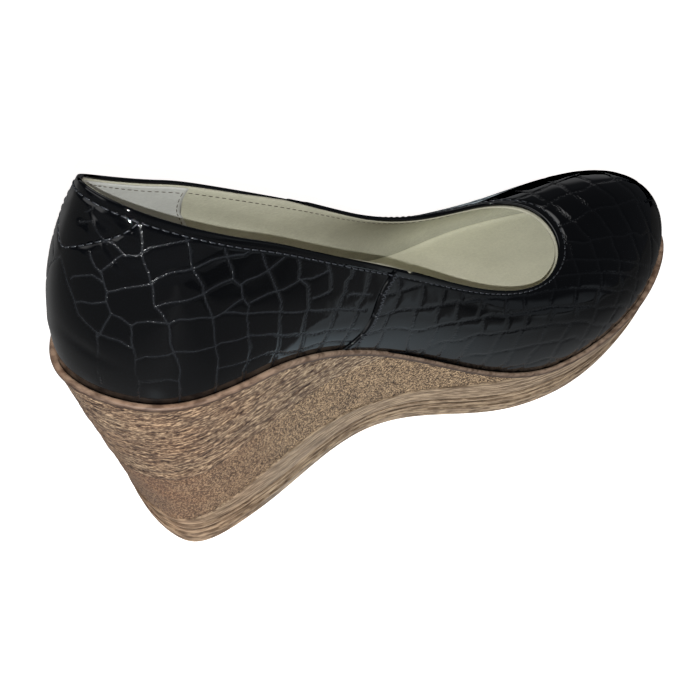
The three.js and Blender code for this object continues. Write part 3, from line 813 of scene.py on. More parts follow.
def insole_top(points):
    """The sock's height: bed, board and sock, plus listed creases that cross the ball of the foot,
    each height exp(-((x - middle + run back (y / 30)^2) / width)^2), and the dimple under the heel."""
    x, y = points[..., 0] / MM, points[..., 1] / MM
    level = bed_height(points[..., 0]) + FIT_GAP + INSOLE_THICKNESS
    for middle, back, width, height in SOCK_CREASES:
        level = level + height * MM * bump_at(x - middle + back * (y / 30)**2, width)
    from_heel = np.hypot(x - HEEL_DIMPLE[0], y - HEEL_DIMPLE[1])
    return level + HEEL_DIMPLE[3] * MM * bump_at(from_heel, HEEL_DIMPLE[2])


# In from the insole's edge and up from its underside, in mm: its side, and the sock's rounded edge
INSOLE_PROFILE = ((0, 0), (0, 2.6), (.05, 3), (.2, 3.15), (.6, 3), (1.2, 2.8), (2, 2.66), (3, 2.6))
insole_ring_sections = even_sections(0, SECTIONS, 1 * MM, 0)[:-1]
insole_edge = np.full(len(insole_ring_sections), -INSOLE_EDGE)
insole_rings = [
    beside_foot(insole_ring_sections, insole_edge - inward * MM, FIT_GAP + up * MM)
    for inward, up in INSOLE_PROFILE
]
insole_rings = np.concatenate([np.stack(insole_rings), filled(insole_rings[-1], insole_top, 40)])
floor_of_insole = filled(insole_rings[0], lambda p: bed_height(p[..., 0]) + FIT_GAP, 2)[::-1]
insole_rings = np.concatenate([floor_of_insole, insole_rings])
insole = new_piece(
    "insole",
    new_mesh("insole", insole_rings,
             [grid_quads(len(insole_rings), len(insole_ring_sections), wrap_columns=True)]),
    ["insole"], weld=.02 * MM)

# %% [markdown]
# ## The sole
# The side of the sole is one slanting wall from the ground edge to the ledge beside the upper. Layer
# lines, which depend only on the length, cut it into the outsole, the banded platform, the granular cork
# and the streaky heel layer. Each becomes a closed ring with its own relief, filled to the middle line.

# %% Layers of the sole
LAYER_STEP = .4 * MM
FADE_THICKNESS = .9 * MM  # a layer thinner than this slips in behind the side as it ends
FADE_INSET = 1.6 * MM
HAIR = .0005  # least height of a layer, as a share of the side


def side_point(section, share, inset):
    """A point of the sole's side: from the ground edge (share 0) straight to the ledge (share 1)."""
    section, share, inset = np.broadcast_arrays(np.asarray(section, float), share, inset)
    x, y = seen_from_above("ground", section)
    low = np.stack([x, y, ground_height(x)], -1)
    high = beside_foot(section, np.full(section.shape, SOLE_LEDGE), 0)
    point = low + (high - low) * share[..., None]
    return point - outward(section) * inset[..., None]


def share_at(section, line):
    """Share of the side at which it crosses a layer line, by 30 halvings of the interval."""
    near, far = np.full(section.shape, -.2), np.full(section.shape, 1.2)
    for _ in range(30):
        middle = (near + far) / 2
        point = side_point(section, middle, 0)
        above = point[..., 2] > line(point[..., 0])
        near, far = np.where(above, near, middle), np.where(above, middle, far)
    return (near + far) / 2


def layer(name, sections, levels, low_line, high_line, inset, relief, slot, caps=(2, 2)):
    """A closed layer: rows of side points at the given levels from the low line to the high one, pushed
    out by relief(points, height over the low line), and filled below and above to the middle line."""
    low, high = share_at(sections, low_line), share_at(sections, high_line)
    thickness = np.linalg.norm(side_point(sections, high, 0) - side_point(sections, low, 0), axis=-1)
    gone = 1 - ease(thickness / FADE_THICKNESS)
    share = low + np.maximum(high - low, HAIR) * levels[:, None]
    plain = side_point(sections, share, inset + FADE_INSET * gone)
    over = plain[..., 2] - low_line(plain[..., 0])
    points = plain + outward(sections) * (relief(plain, over) * (1 - gone))[..., None]
    bottom = filled(points[0], lambda p: low_line(p[..., 0]), caps[0])[::-1]
    top = filled(points[-1], lambda p: np.maximum(high_line(p[..., 0]), low_line(p[..., 0])), caps[1])
    rings = np.concatenate([bottom, points, top])
    levels_over = np.concatenate([0 * bottom[..., 2], over, 0 * top[..., 2] + over[-1]])
    faces = [grid_quads(len(rings), len(sections), wrap_columns=True)]
    print(name, "thickest side (mm):", round(thickness.max() / MM, 1))
    return new_piece(name, new_mesh(name, rings, faces, {"over": levels_over}), [name], weld=.004 * MM)


STREAK_RISE = .2  # how steeply the heel's fibres climb toward the toe


def climbing(points):
    """Points sheared so that a level streak climbs by STREAK_RISE toward the toe."""
    return points - np.stack([0 * points[..., 0], 0 * points[..., 0], STREAK_RISE * points[..., 0]], -1)


def jute_relief(points, over):
    """Fibres: long streaks, short blobs on them, and slow waves."""
    return relief_of(
        climbing(points), (.2, (9, 9, 1.1), 11), (.22, (3.2, 3.2, 1.3), 12), (.25, (14, 14, 5), 13))


def cork_relief(points, over):
    """Grains about a millimetre across, and larger crumbs."""
    return relief_of(points, (.13, (1.1, 1.1, .9), 21), (.14, (2.6, 2.6, 2), 22))


BAND_GROOVES = (2.0, 4.4)  # heights of the platform's grooves over its lower edge, in mm
BAND_GROOVE_WIDTH = .42 * MM
BAND_GROOVE_DEPTH = 1.1 * MM


def banded(points, over):
    """The same points with their height taken over the layer's lower edge, so streaks follow that edge."""
    return np.stack([points[..., 0], points[..., 1], over], -1)


def platform_relief(points, over):
    """Two pressed grooves parallel to the ground edge, and long, low, smooth streaks."""
    grooves = sum(bump_at(over - height * MM, BAND_GROOVE_WIDTH) for height in BAND_GROOVES)
    return relief_of(banded(points, over), (.1, (22, 22, .8), 31)) - BAND_GROOVE_DEPTH * grooves


OUTSOLE_ROUND = 1.6 * MM


def outsole_relief(points, over):
    """A quarter round along the lower edge, and faint level streaks."""
    below = np.clip(1 - over / OUTSOLE_ROUND, 0, 1)
    rounding = OUTSOLE_ROUND * (1 - np.sqrt(1 - below**2))
    return relief_of(banded(points, over), (.05, (14, 14, .7), 41)) - rounding


def rows(count):
    """Levels from 0 to 1."""
    return np.linspace(0, 1, count + 1)


SIDE_STEP = .55 * MM
all_round = even_sections(0, SECTIONS, SIDE_STEP, 0)[:-1]
gap = FIT_GAP
outsole = layer("outsole", all_round, np.array([0, .04, .1, .18, .28, .4, .55, .7, .85, 1]),
                ground_height, outsole_top, 0, outsole_relief, "outsole_rubber", (24, 2))
platform = layer("platform", all_round, rows(38), lambda x: outsole_top(x) + gap, platform_top,
                 LAYER_STEP, platform_relief, "jute_band")
cork = layer("cork_wedge", all_round, rows(48), lambda x: platform_top(x) + gap, cork_top,
             2 * LAYER_STEP, cork_relief, "cork")
heel = layer("heel_layer", all_round, rows(56), lambda x: cork_top(x) + gap, bed_height,
             LAYER_STEP, jute_relief, "jute")

# %% [markdown]
# ## The rim
# A thin cord runs along the top edge of the sole beside the upper. It hides the join.

# %% Rim bead
RIM_HEIGHT = 1.7 * MM
RIM_OUT = 2.4
RIM_PROFILE = (  # out in mm, share up, lean, and painted shade
    (.1, 0, 0, 1), (2, 0, 0, 1), (2.3, .2, 0, 1), (RIM_OUT, .45, 0, .85), (2.34, .68, 0, .6),
    (2.15, .86, 0, .35), (1.7, .97, .3, .1), (1.1, 1.02, .5, 0), (.5, .98, .8, 0), (.05, .9, 1, .15))


def rim_rings(sections):
    """Rings at the foot line plus out, leaning with the upper by lean bulge / rise of the wall beside it,
    and making room for the vamp where that is raised."""
    slope = on_line("bulge", sections) * LAST_WIDTH / (on_line("rise", sections) * BACK_HEIGHT)
    under_vamp = np.maximum(0, vamp_lift(sections)) * (from_edge(sections) > 0)
    return np.stack([
        beside_foot(sections, out * MM + lean * slope * RIM_HEIGHT + (1 - out / RIM_OUT) * under_vamp,
                    FIT_GAP + up * RIM_HEIGHT)
        for out, up, lean, _ in RIM_PROFILE
    ])


rim_sections = even_sections(0, SECTIONS, .8 * MM, 0)[:-1]
rings = rim_rings(rim_sections)
sole_rim = new_piece(
    "sole_rim",
    new_mesh("sole_rim", rings, [grid_quads(*rings.shape[:2], wrap_rows=True, wrap_columns=True)],
             {"cord_painted_shade": np.array([row[3] for row in RIM_PROFILE])[:, None] + 0 * rings[..., 0]}),
    ["sole_rim"])

# %% [markdown]
# ## Stitches
# Each stitch is a short length of thread whose ends dip into the leather. All the stitches of one row
# are worked out as one array and joined in one mesh, so hundreds of them cost few faces.

# %% Rows of stitches
THREAD_SIDES = 6
STITCH_PROFILE = ((-1, .3, -1), (-.8, .85, -.3), (0, 1, 0), (.8, .85, -.3), (1, .3, -1))


def along_path(sections, shares, pitch):
    """Places, a pitch apart in metres, on a line of the wall given by many sections and shares."""
    run = run_along(sections, shares)
    marks = np.linspace(0, run[-1], max(2, round(run[-1] / pitch)) + 1)
    return np.interp(marks, run, sections), np.interp(marks, run, shares)


def thread_mesh(name, starts, ends, normals, radius):
    """Capsules from starts to ends. A ring lies at middle + u half + normal (dip radius) and is a circle
    of r radius, for each (u, r, dip) of the profile."""
    middle, half = (starts + ends) / 2, (ends - starts) / 2
    along = unit(half)
    out = unit(normals - along * (normals * along).sum(-1, keepdims=True))
    across = np.cross(along, out)
    turn = np.arange(THREAD_SIDES) * 2 * np.pi / THREAD_SIDES
    circle = np.cos(turn)[:, None, None] * out + np.sin(turn)[:, None, None] * across
    rings = np.stack([middle + half * u + out * dip * radius + circle * r * radius
                      for u, r, dip in STITCH_PROFILE])
    points = rings.transpose(2, 0, 1, 3)
    count, levels = points.shape[:2]
    one = grid_quads(levels, THREAD_SIDES, wrap_columns=True)
    around = np.arange(THREAD_SIDES)
    ends_of_one = np.stack([around[::-1], (levels - 1) * THREAD_SIDES + around])
    shift = (np.arange(count) * levels * THREAD_SIDES)[:, None, None]
    quads = (one[None] + shift).reshape(-1, 4)
    caps = (ends_of_one[None] + shift).reshape(-1, THREAD_SIDES)
    return new_mesh(name, points, [quads, caps])


def below_topline(section, drop):
    """Share of the rib that is a drop, in metres, below the topline."""
    return 1 - drop / rib_length(section)


def row_of_stitches(name, sections, shares, height, pitch, gap, radius, slot, inside=False):
    """A row of stitches, a pitch from one to the next with a gap between them, on the outer face, or
    turned round on the inner one. height gives the thread's height over the wall at each place."""
    place, level = along_path(sections, shares, pitch)
    out = wall_frame(place, level)[2]
    points = wall(place, level) + out * height(place, level)[:, None]
    rest = unit(points[1:] - points[:-1]) * gap / 2
    normals = (out[1:] + out[:-1]) * (-1 if inside else 1)
    return new_piece(name, thread_mesh(name, points[:-1] + rest, points[1:] - rest, normals, radius))


def on_leather(section, share):
    """Height of the collar's thread: a little over the leather, and over the vamp's raised edge."""
    return .02 * MM + np.maximum(0, vamp_lift(section)) * (from_edge(section) > 0)


def on_lining(section, share):
    """Height of the thread inside: on the grip near the heel, and on the lining elsewhere."""
    on_grip = np.abs(from_back(section)) < grip_front(share)
    return np.where(on_grip, -WALL - GRIP_THICKNESS, -WALL) - .03 * MM


all_the_way = np.linspace(0, SECTIONS, 900)
outer_thread = {"gap": .6 * MM, "radius": .26 * MM, "slot": "patent_leather"}
inner_thread = {"pitch": 2.7 * MM, "gap": .8 * MM, "radius": .16 * MM, "slot": "sock_leather", "inside": True}
collar_stitches = row_of_stitches(
    "collar_stitches", all_the_way, below_topline(all_the_way, COLLAR_STITCH), on_leather,
    pitch=2.7 * MM, **outer_thread)
back_arc = np.linspace(-HEEL_STITCH_END, HEEL_STITCH_END, 300)
heel_stitches = row_of_stitches(
    "heel_stitches", back_arc, below_topline(back_arc, heel_stitch_drop(back_arc)), on_leather,
    pitch=2.6 * MM, **outer_thread)
stitch_drop = np.interp(np.abs(all_the_way - 8), (5, 6), (3.2, 2)) * MM  # nearer the edge at the heel
lining_stitches = row_of_stitches(
    "lining_stitches", all_the_way, below_topline(all_the_way, stitch_drop), on_lining, **inner_thread)
GRIP_STITCH_INSET = .03  # sections behind the grip's front edge
down_the_grip = np.linspace(.95, .2, 100)
grip_stitches = [
    row_of_stitches(f"{side}_grip_stitches", turn * (grip_front(down_the_grip) - GRIP_STITCH_INSET),
                    down_the_grip, on_lining, **inner_thread)
    for side, turn in (("inner", 1), ("outer", -1))
]

ZIGZAG = (.042, .022)  # sections from the folded edge to the middle of the zigzag, and its half width
ZIGZAG_POINTS = 43
SEAM_THREAD = .24 * MM
SEAM_SINK = .04 * MM
seam_rise = np.linspace(.02, .97, ZIGZAG_POINTS)
seam_stitches = []
for side, edge, turn in (("inner", INNER_EDGE, 1), ("outer", OUTER_EDGE, -1)):
    wave = edge + turn * (ZIGZAG[0] + ZIGZAG[1] * np.where(np.arange(ZIGZAG_POINTS) % 2 == 0, -1, 1))
    place = leaning(wave, seam_rise)
    normals = wall_frame(place, seam_rise)[2]
    points = wall(place, seam_rise) + normals * (EDGE_LIFT - SEAM_SINK)
    name = f"{side}_seam_stitches"
    mesh = thread_mesh(name, points[:-1], points[1:], normals[1:] + normals[:-1], SEAM_THREAD)
    seam_stitches.append(new_piece(name, mesh))

# %% [markdown]
# ## Materials
# Two effects are shared: streaky fibre, which jute, band and rubber show in different sizes, and a fine
# grain, which the lining, the sock and the suede share. Each effect is a node group that
# puts out only a mask, and each material decides on colour, roughness and height for itself.

# %% Node helpers
def feed(tree, node, inputs):
    """Gives each named socket of a node a value, or links it to another node's output."""
    for key, value in inputs.items():
        if isinstance(value, bpy.types.NodeSocket):
            tree.links.new(value, node.inputs[key])
        else:
            node.inputs[key].default_value = value
    return node


def add(tree, kind, inputs=(), **settings):
    """Adds a node. settings are its own properties, and inputs are for its sockets."""
    made = tree.nodes.new(kind)
    for key, value in settings.items():
        setattr(made, key, value)
    return feed(tree, made, dict(inputs))


def calc(tree, operation, *values, clamp=False):
    """The output of one Math node."""
    node = add(tree, "ShaderNodeMath", dict(enumerate(values)), operation=operation, use_clamp=clamp)
    return node.outputs[0]


def times(tree, first, second, clamp=False):
    """The product of two values."""
    return calc(tree, "MULTIPLY", first, second, clamp=clamp)


def plus(tree, *values):
    """The sum of two or more values."""
    total = values[0]
    for value in values[1:]:
        total = calc(tree, "ADD", total, value)
    return total


def stretched(tree, vector, cell):
    """The vector divided by a cell's three sizes."""
    scale = tuple(1 / size for size in cell)
    return add(tree, "ShaderNodeVectorMath", {0: vector, 1: scale}, operation="MULTIPLY").outputs[0]


def noise(tree, vector, cell, detail=2.0, roughness=.5):
    """Noise from 0 to 1 whose cells have the three sizes given, in metres."""
    node = add(tree, "ShaderNodeTexNoise", {
        "Vector": stretched(tree, vector, cell), "Scale": 1.0, "Detail": detail, "Roughness": roughness})
    return node.outputs["Fac"]


def spread(tree, value, low, high, to_low=0.0, to_high=1.0):
    """The value stretched from one range to another and held inside it."""
    return add(tree, "ShaderNodeMapRange", {
        "Value": value, "From Min": low, "From Max": high, "To Min": to_low, "To Max": to_high}).outputs[0]


def ramp(tree, value, *stops):
    """A colour between stops, each (place, red, green, blue)."""
    node = add(tree, "ShaderNodeValToRGB", {"Fac": value})
    while len(node.color_ramp.elements) < len(stops):
        node.color_ramp.elements.new(.5)
    for element, (place, *colour) in zip(node.color_ramp.elements, stops):
        element.position = place
        element.color = (*colour, 1)
    return node.outputs[0]


def blend(tree, share, first, second, mode="MIX"):
    """Two colours mixed by a share."""
    inputs = {0: share, 6: first, 7: second}
    return add(tree, "ShaderNodeMix", inputs, data_type="RGBA", blend_type=mode).outputs[2]


def group_of(name, inputs, outputs):
    """An empty node group with named float, vector or colour sockets, and its two end nodes."""
    kinds = {"float": "NodeSocketFloat", "vector": "NodeSocketVector", "colour": "NodeSocketColor"}
    tree = bpy.data.node_groups.new(name, "ShaderNodeTree")
    for key, kind in inputs.items():
        tree.interface.new_socket(key, in_out="INPUT", socket_type=kinds[kind])
    for key, kind in outputs.items():
        tree.interface.new_socket(key, in_out="OUTPUT", socket_type=kinds[kind])
    return tree, add(tree, "NodeGroupInput"), add(tree, "NodeGroupOutput")


def object_place(tree):
    """The shoe's own coordinates, in metres."""
    return add(tree, "ShaderNodeTexCoord").outputs["Object"]


def object_parts(tree):
    """The shoe's own coordinates as three values, X, Y and Z."""
    return add(tree, "ShaderNodeSeparateXYZ", {0: object_place(tree)}).outputs


def joined(tree, x, y, z):
    """A vector from three values."""
    return add(tree, "ShaderNodeCombineXYZ", {"X": x, "Y": y, "Z": z}).outputs[0]


def attribute(tree, name):
    """A number that the mesh keeps at each point."""
    return add(tree, "ShaderNodeAttribute", attribute_name=name).outputs["Fac"]


def new_material(name, **finish):
    """A material with one Principled shader, whose sockets take plain values here."""
    material = bpy.data.materials.new(name)
    material.use_nodes = True
    tree = material.node_tree
    shader = tree.nodes["Principled BSDF"]
    for key, value in finish.items():
        shader.inputs[key.replace("_", " ").title().replace("Ior", "IOR")].default_value = value
    return material, tree, shader


def raise_surface(tree, shader, height, distance, strength=1.0, after=None):
    """Bump by a height from 0 to 1 over a distance in metres. Returns the normal."""
    inputs = {"Height": height, "Distance": distance, "Strength": strength}
    if after is not None:
        inputs["Normal"] = after
    normal = add(tree, "ShaderNodeBump", inputs).outputs[0]
    feed(tree, shader, {"Normal": normal})
    return normal


def wear(material, *pieces):
    """Gives the material to pieces."""
    for piece in pieces:
        piece.data.materials.append(material)


# %% [markdown]
# ### Patent leather
# Black leather under a thick, clear, hard lacquer. It is almost a mirror, with a very low ripple where
# the lacquer has flowed. In the grooves it is wrinkled, duller and a little greyer.

# %% Patent leather
BLACK = ((.3, .0006, .0008, .0012), (.95, .008, .0095, .012))  # depth in the groove, and the colour there
GROOVE_SHEEN = (.2, .8, .04, .3)  # two depths in the groove, and the roughness at each
RIPPLE = (6 * MM, .03 * MM)  # cell and height, as in the next two
WRINKLES = (.7 * MM, .4 * MM)
PORES = (.7 * MM, .003 * MM)


def patent_leather():
    """Nearly black base, sharp reflection, slow ripple, wrinkled grooves and a faint pore grain."""
    material, tree, shader = new_material("black patent leather", ior=1.5)
    place, groove = object_place(tree), attribute(tree, "groove")
    feed(tree, shader, {
        "Roughness": spread(tree, groove, *GROOVE_SHEEN), "Base Color": ramp(tree, groove, *BLACK)})
    ripple = noise(tree, place, (RIPPLE[0],) * 3, detail=1.0)
    first = raise_surface(tree, shader, ripple, RIPPLE[1])
    wrinkles = times(tree, noise(tree, place, (WRINKLES[0],) * 3, detail=1.0), groove)
    second = raise_surface(tree, shader, wrinkles, WRINKLES[1], after=first)
    pores = noise(tree, place, (PORES[0],) * 3, detail=2.0)
    raise_surface(tree, shader, pores, PORES[1], after=second)
    return material


wear(patent_leather(), quarter, vamp)

# %% [markdown]
# ### Thread

# %% Thread
def thread(name, colour, roughness):
    """Waxed thread: one colour with a soft sheen."""
    return new_material(name, base_color=(*colour, 1), roughness=roughness)[0]


black_thread = thread("waxed black thread", (.022, .025, .03), .27)
wear(black_thread, collar_stitches, heel_stitches, *seam_stitches)
wear(thread("grey brown thread", (.1, .09, .07), .5), lining_stitches, *grip_stitches)

# %% [markdown]
# ### Lining, sock and heel grip
# The lining and the sock are a pale pigskin with fine grain. The heel grip is a light grey suede.

# %% Lining leather and suede
def soft_grain_group():
    """Fine grain, longer along the shoe than up, and slow unevenness, as two masks from 0 to 1."""
    tree, start, end = group_of("soft grain", {"Place": "vector"}, {"Grain": "float", "Slow": "float"})
    place = start.outputs["Place"]
    grain = noise(tree, place, (1.3 * MM, .8 * MM, .5 * MM), detail=4.0, roughness=.65)
    slow = noise(tree, place, (14 * MM, 8 * MM, 10 * MM), detail=2.0)
    feed(tree, end, {"Grain": grain, "Slow": slow})
    return tree


SOFT_GRAIN = soft_grain_group()


def pale_leather(name, light, dark, grain_height, rough):
    """Grain darkens the colour a little and lifts the surface."""
    material, tree, shader = new_material(name, roughness=rough)
    masks = add(tree, "ShaderNodeGroup", {"Place": object_place(tree)}, node_tree=SOFT_GRAIN).outputs
    share = plus(tree, times(tree, masks["Grain"], .6), times(tree, masks["Slow"], .4))
    feed(tree, shader, {"Base Color": ramp(tree, share, (.3, *dark), (.7, *light))})
    raise_surface(tree, shader, masks["Grain"], grain_height)
    return material


PALE_LEATHERS = (  # name, light and dark colour, height of the grain in mm, roughness, and piece
    ("pale lining leather", (.56, .56, .44), (.4, .4, .31), .22, .55, lining),
    ("sock leather", (.73, .72, .565), (.6, .595, .46), .1, .6, insole),
    ("light grey suede", (.57, .585, .55), (.45, .465, .44), .18, .9, heel_grip),
)
for name, light, dark, grain_height, rough, piece in PALE_LEATHERS:
    wear(pale_leather(name, light, dark, grain_height * MM, rough), piece)

# %% [markdown]
# ### The sole's materials
# Streaks are noise whose cells are long along the shoe and thin upward. Because the cells are made in the
# shoe's own coordinates, they run round the heel and the toe with no seam.

# %% Jute, cork, band and rubber
def streaks_group():
    """Long streaks, short blobs and specks, for a cell's length and height given in metres."""
    tree, start, end = group_of("fibre streaks", {"Place": "vector", "Length": "float", "Height": "float"},
                                {"Streak": "float", "Speck": "float"})
    place, length, height = (start.outputs[key] for key in ("Place", "Length", "Height"))

    def cells(share_long, share_high):
        wide = calc(tree, "DIVIDE", 1.0, times(tree, length, share_long))
        high = calc(tree, "DIVIDE", 1.0, times(tree, height, share_high))
        scale = joined(tree, wide, wide, high)
        spot = add(tree, "ShaderNodeVectorMath", {0: place, 1: scale}, operation="MULTIPLY").outputs[0]
        return add(tree, "ShaderNodeTexNoise", {
            "Vector": spot, "Scale": 1.0, "Detail": 3.0, "Roughness": .6}).outputs["Fac"]

    feed(tree, end, {"Streak": cells(1, 1), "Speck": cells(.3, .8)})
    return tree


STREAKS = streaks_group()
# x over which the glaze of the heel fades out and that of the toe sets in, and how strong each is
HEEL_END = (-105 * MM, -60 * MM)
TOE_END = (70 * MM, 115 * MM)
GLAZE_SHARES = (.8, .7)
GLAZE = (1, .8, .7, 1)
GLAZE_CELL = (16 * MM, 16 * MM, 9 * MM)


def sheared_place(tree):
    """Own coordinates, sheared so that a level streak climbs toward the toe."""
    parts = object_parts(tree)
    height = calc(tree, "SUBTRACT", parts["Z"], times(tree, parts["X"], STREAK_RISE))
    return joined(tree, parts["X"], parts["Y"], height)


def redder_at_the_ends(tree, colour):
    """The glaze is redder and darker round the back of the heel and under the toe, in slow patches."""
    x = object_parts(tree)["X"]
    at_heel, at_toe = GLAZE_SHARES
    ends = plus(tree, spread(tree, x, *HEEL_END, at_heel, 0), spread(tree, x, *TOE_END, 0, at_toe))
    patches = spread(tree, noise(tree, object_place(tree), GLAZE_CELL), .35, .65, .4, 1)
    return blend(tree, times(tree, ends, patches, clamp=True), colour, GLAZE, "MULTIPLY")


def banded_place(tree):
    """Own coordinates with the height taken over the layer's lower edge."""
    parts = object_parts(tree)
    return joined(tree, parts["X"], parts["Y"], attribute(tree, "over"))


# Painted shade along the platform's pressed grooves
GROOVE_PAINTED_SHADE = (.15 * MM, .6 * MM, .14, 0)  # two distances from a groove, and how much darker it is at each


def streaky(name, place_of, length, height, colours, lift, rough, lines):
    """A fibrous material: the streak and the speck mixed pick the colour and lift the surface. lines are
    heights over the layer's lower edge, in mm, along which painted shade darkens the colour."""
    material, tree, shader = new_material(name, roughness=rough)
    inputs = {"Place": place_of(tree), "Length": length, "Height": height}
    masks = add(tree, "ShaderNodeGroup", inputs, node_tree=STREAKS).outputs
    share = plus(tree, times(tree, masks["Streak"], .5), times(tree, masks["Speck"], .5))
    shown = share
    # Painted shade: darker along the pressed grooves of the platform
    for line in lines:
        away = calc(tree, "ABSOLUTE", calc(tree, "SUBTRACT", attribute(tree, "over"), line * MM))
        shown = calc(tree, "SUBTRACT", shown, spread(tree, away, *GROOVE_PAINTED_SHADE))
    feed(tree, shader, {"Base Color": redder_at_the_ends(tree, ramp(tree, shown, *colours))})
    raise_surface(tree, shader, share, lift)
    return material


CORK_CELL = (.6 * MM, .6 * MM, .5 * MM)
CORK_COLOURS = ((.38, .018, .009, .004), (.5, .125, .078, .042), (.6, .4, .29, .17))
CORK_SMEAR = (.115, .069, .044, 1)


def cork_material():
    """Granules: fine noise in round cells, dark crumbs in pale, smeared over with glaze at the heel."""
    material, tree, shader = new_material("ground cork", roughness=.85)
    place = object_place(tree)
    fine = noise(tree, place, CORK_CELL, detail=2.0, roughness=.7)
    slow = noise(tree, place, (5 * MM,) * 3)
    share = plus(tree, times(tree, fine, .9), times(tree, slow, .1))
    smeared = spread(tree, object_parts(tree)["X"], *HEEL_END, .55, 0)
    colour = blend(tree, smeared, ramp(tree, share, *CORK_COLOURS), CORK_SMEAR)
    feed(tree, shader, {"Base Color": redder_at_the_ends(tree, colour)})
    raise_surface(tree, shader, share, .35 * MM)
    return material


RIM_COLOURS = ((.35, .13, .085, .057), (.6, .34, .25, .18))
# Colour of the painted shade on the cord's lower side
RIM_PAINTED_SHADE = (.035, .017, .01, 1)


def rim_cord():
    """A smooth pinkish cord with fine marks, darkened with painted shade where it meets the sole and the
    leather.
    """
    material, tree, shader = new_material("rim cord", roughness=.55)
    marks = noise(tree, object_place(tree), (3 * MM, 3 * MM, .6 * MM), detail=3.0)
    colour = redder_at_the_ends(tree, ramp(tree, marks, *RIM_COLOURS))
    # Painted shade: the profile's last column darkens the cord where it meets the sole, and a little by the
    # leather
    colour = blend(tree, attribute(tree, "cord_painted_shade"), colour, RIM_PAINTED_SHADE)
    feed(tree, shader, {"Base Color": colour})
    return material


# Share of light fibres, and the colour there
JUTE_COLOURS = ((.38, .014, .006, .003), (.46, .075, .043, .025), (.52, .15, .105, .064), (.61, .4, .31, .2))
BAND_COLOURS = ((.36, .06, .036, .018), (.47, .16, .11, .066), (.58, .36, .275, .18))
STREAKY = (  # name, place, the cell's length and height in mm, colours, lift in mm, roughness, lines, piece
    ("jute fibre", sheared_place, 4.2, .55, JUTE_COLOURS, .6, .85, (), heel),
    ("pressed fibre band", banded_place, 14, .5, BAND_COLOURS, .25, .7, BAND_GROOVES, platform),
    ("brown sole rubber", banded_place, 12, .9, BAND_COLOURS, .1, .6, (), outsole),
)
for name, place_of, length, height, colours, lift, rough, lines, piece in STREAKY:
    wear(streaky(name, place_of, length * MM, height * MM, colours, lift * MM, rough, lines), piece)
wear(cork_material(), cork)
wear(rim_cord(), sole_rim)

# %% [markdown]
# ## Camera, floor and light
# The photograph was taken from above and lit by a flash close to the lens.

# %% Camera and floor
CAMERA_PLACE = np.array([-131.219, -268.234, 346.504]) * MM
CAMERA_BACK = np.array([-.489, -.562, .667])
CAMERA_RIGHT = np.array([.794, -.604, .073])
LENS = 75.07


def make_camera():
    """The camera of the photograph, from its three axes."""
    back = unit(CAMERA_BACK)
    right = unit(CAMERA_RIGHT - back * (CAMERA_RIGHT @ back))
    up = np.cross(back, right)
    data = bpy.data.cameras.new("photo_camera")
    data.lens = LENS
    data.sensor_width = 36
    camera = placed("photo_camera", data)
    turned = Matrix(np.stack([right, up, back], 1).tolist()).to_4x4()
    camera.matrix_world = Matrix.Translation(Vector(CAMERA_PLACE + PLACE)) @ turned
    bpy.context.scene.camera = camera
    return up


camera_up = make_camera()


def sheet_of_floor(name, material):
    """A level square, six metres wide, that is part of the stage and not of the shoe."""
    mesh = bpy.data.meshes.new(name)
    mesh.from_pydata([(-3, -3, 0), (3, -3, 0), (3, 3, 0), (-3, 3, 0)], [], [(0, 1, 2, 3)])
    sheet = placed(name, mesh)
    wear(material, sheet)
    return sheet


# A pale table that also glows a little, as in a cut-out picture
matt_white = new_material("white table", base_color=(.9, .9, .9, 1), roughness=.9,
                          emission_color=(1, 1, 1, 1), emission_strength=.8)[0]
floor = sheet_of_floor("floor", matt_white)
floor.visible_glossy = False

# %% Flash and room
FLASH_DROP = 11.5 * MM  # below the lens, which makes the narrow shadow under the sole
FLASH_POWER = 8
FLASH_RADIUS = 1.5 * MM
flash_data = bpy.data.lights.new("flash", "POINT")
flash_data.energy = FLASH_POWER
flash_data.shadow_soft_size = FLASH_RADIUS
placed("flash", flash_data).location = Vector(CAMERA_PLACE + PLACE - camera_up * FLASH_DROP)

# What the lacquer mirrors above the table: azimuth, elevation and roll in degrees, half width and half
# height as tangents, softness, brightness and colour of each bright thing in the room
BRIGHT_THINGS = (
    ("pale wall on the near side", -115, 4, 0, 2.2, .16, .3, .14, (1, 1, 1)),
    ("lit thing on the near side", -47, 5, 0, .3, .2, .1, .19, (.9, 1, 1.08)),
    ("pale thing beyond the toe", 55, 4, 0, .4, .16, .1, .25, (1, 1, 1)),
    ("high lamp", 60, 62, 20, .3, .2, .08, 2.0, (1, 1, 1)),
    ("window at the back", 178, 30, 0, .5, .3, .1, 1.2, (1, 1, 1)),
)


def soft_box_group():
    """1 where a direction falls in a rectangle seen flat on: the tangents of its angles from the middle
    are under the half sizes, with a soft edge."""
    tree, start, end = group_of(
        "soft box", {"Direction": "vector", "Aim": "vector", "Right": "vector", "Up": "vector",
                     "Half width": "float", "Half height": "float", "Softness": "float"},
        {"Mask": "float"})
    direction = start.outputs["Direction"]

    def part(key):
        inputs = {0: direction, 1: start.outputs[key]}
        return add(tree, "ShaderNodeVectorMath", inputs, operation="DOT_PRODUCT").outputs["Value"]

    ahead = part("Aim")
    mask = calc(tree, "GREATER_THAN", ahead, .05)
    for key, half in (("Right", "Half width"), ("Up", "Half height")):
        away = calc(tree, "ABSOLUTE", calc(tree, "DIVIDE", part(key), ahead))
        past = calc(tree, "SUBTRACT", away, start.outputs[half])
        past = calc(tree, "DIVIDE", past, start.outputs["Softness"])
        edge = add(tree, "ShaderNodeMapRange", {
            "Value": past, "From Min": -1.0, "From Max": 1.0, "To Min": 1.0, "To Max": 0.0},
            interpolation_type="SMOOTHSTEP").outputs[0]
        mask = times(tree, mask, edge)
    feed(tree, end, {"Mask": mask})
    return tree


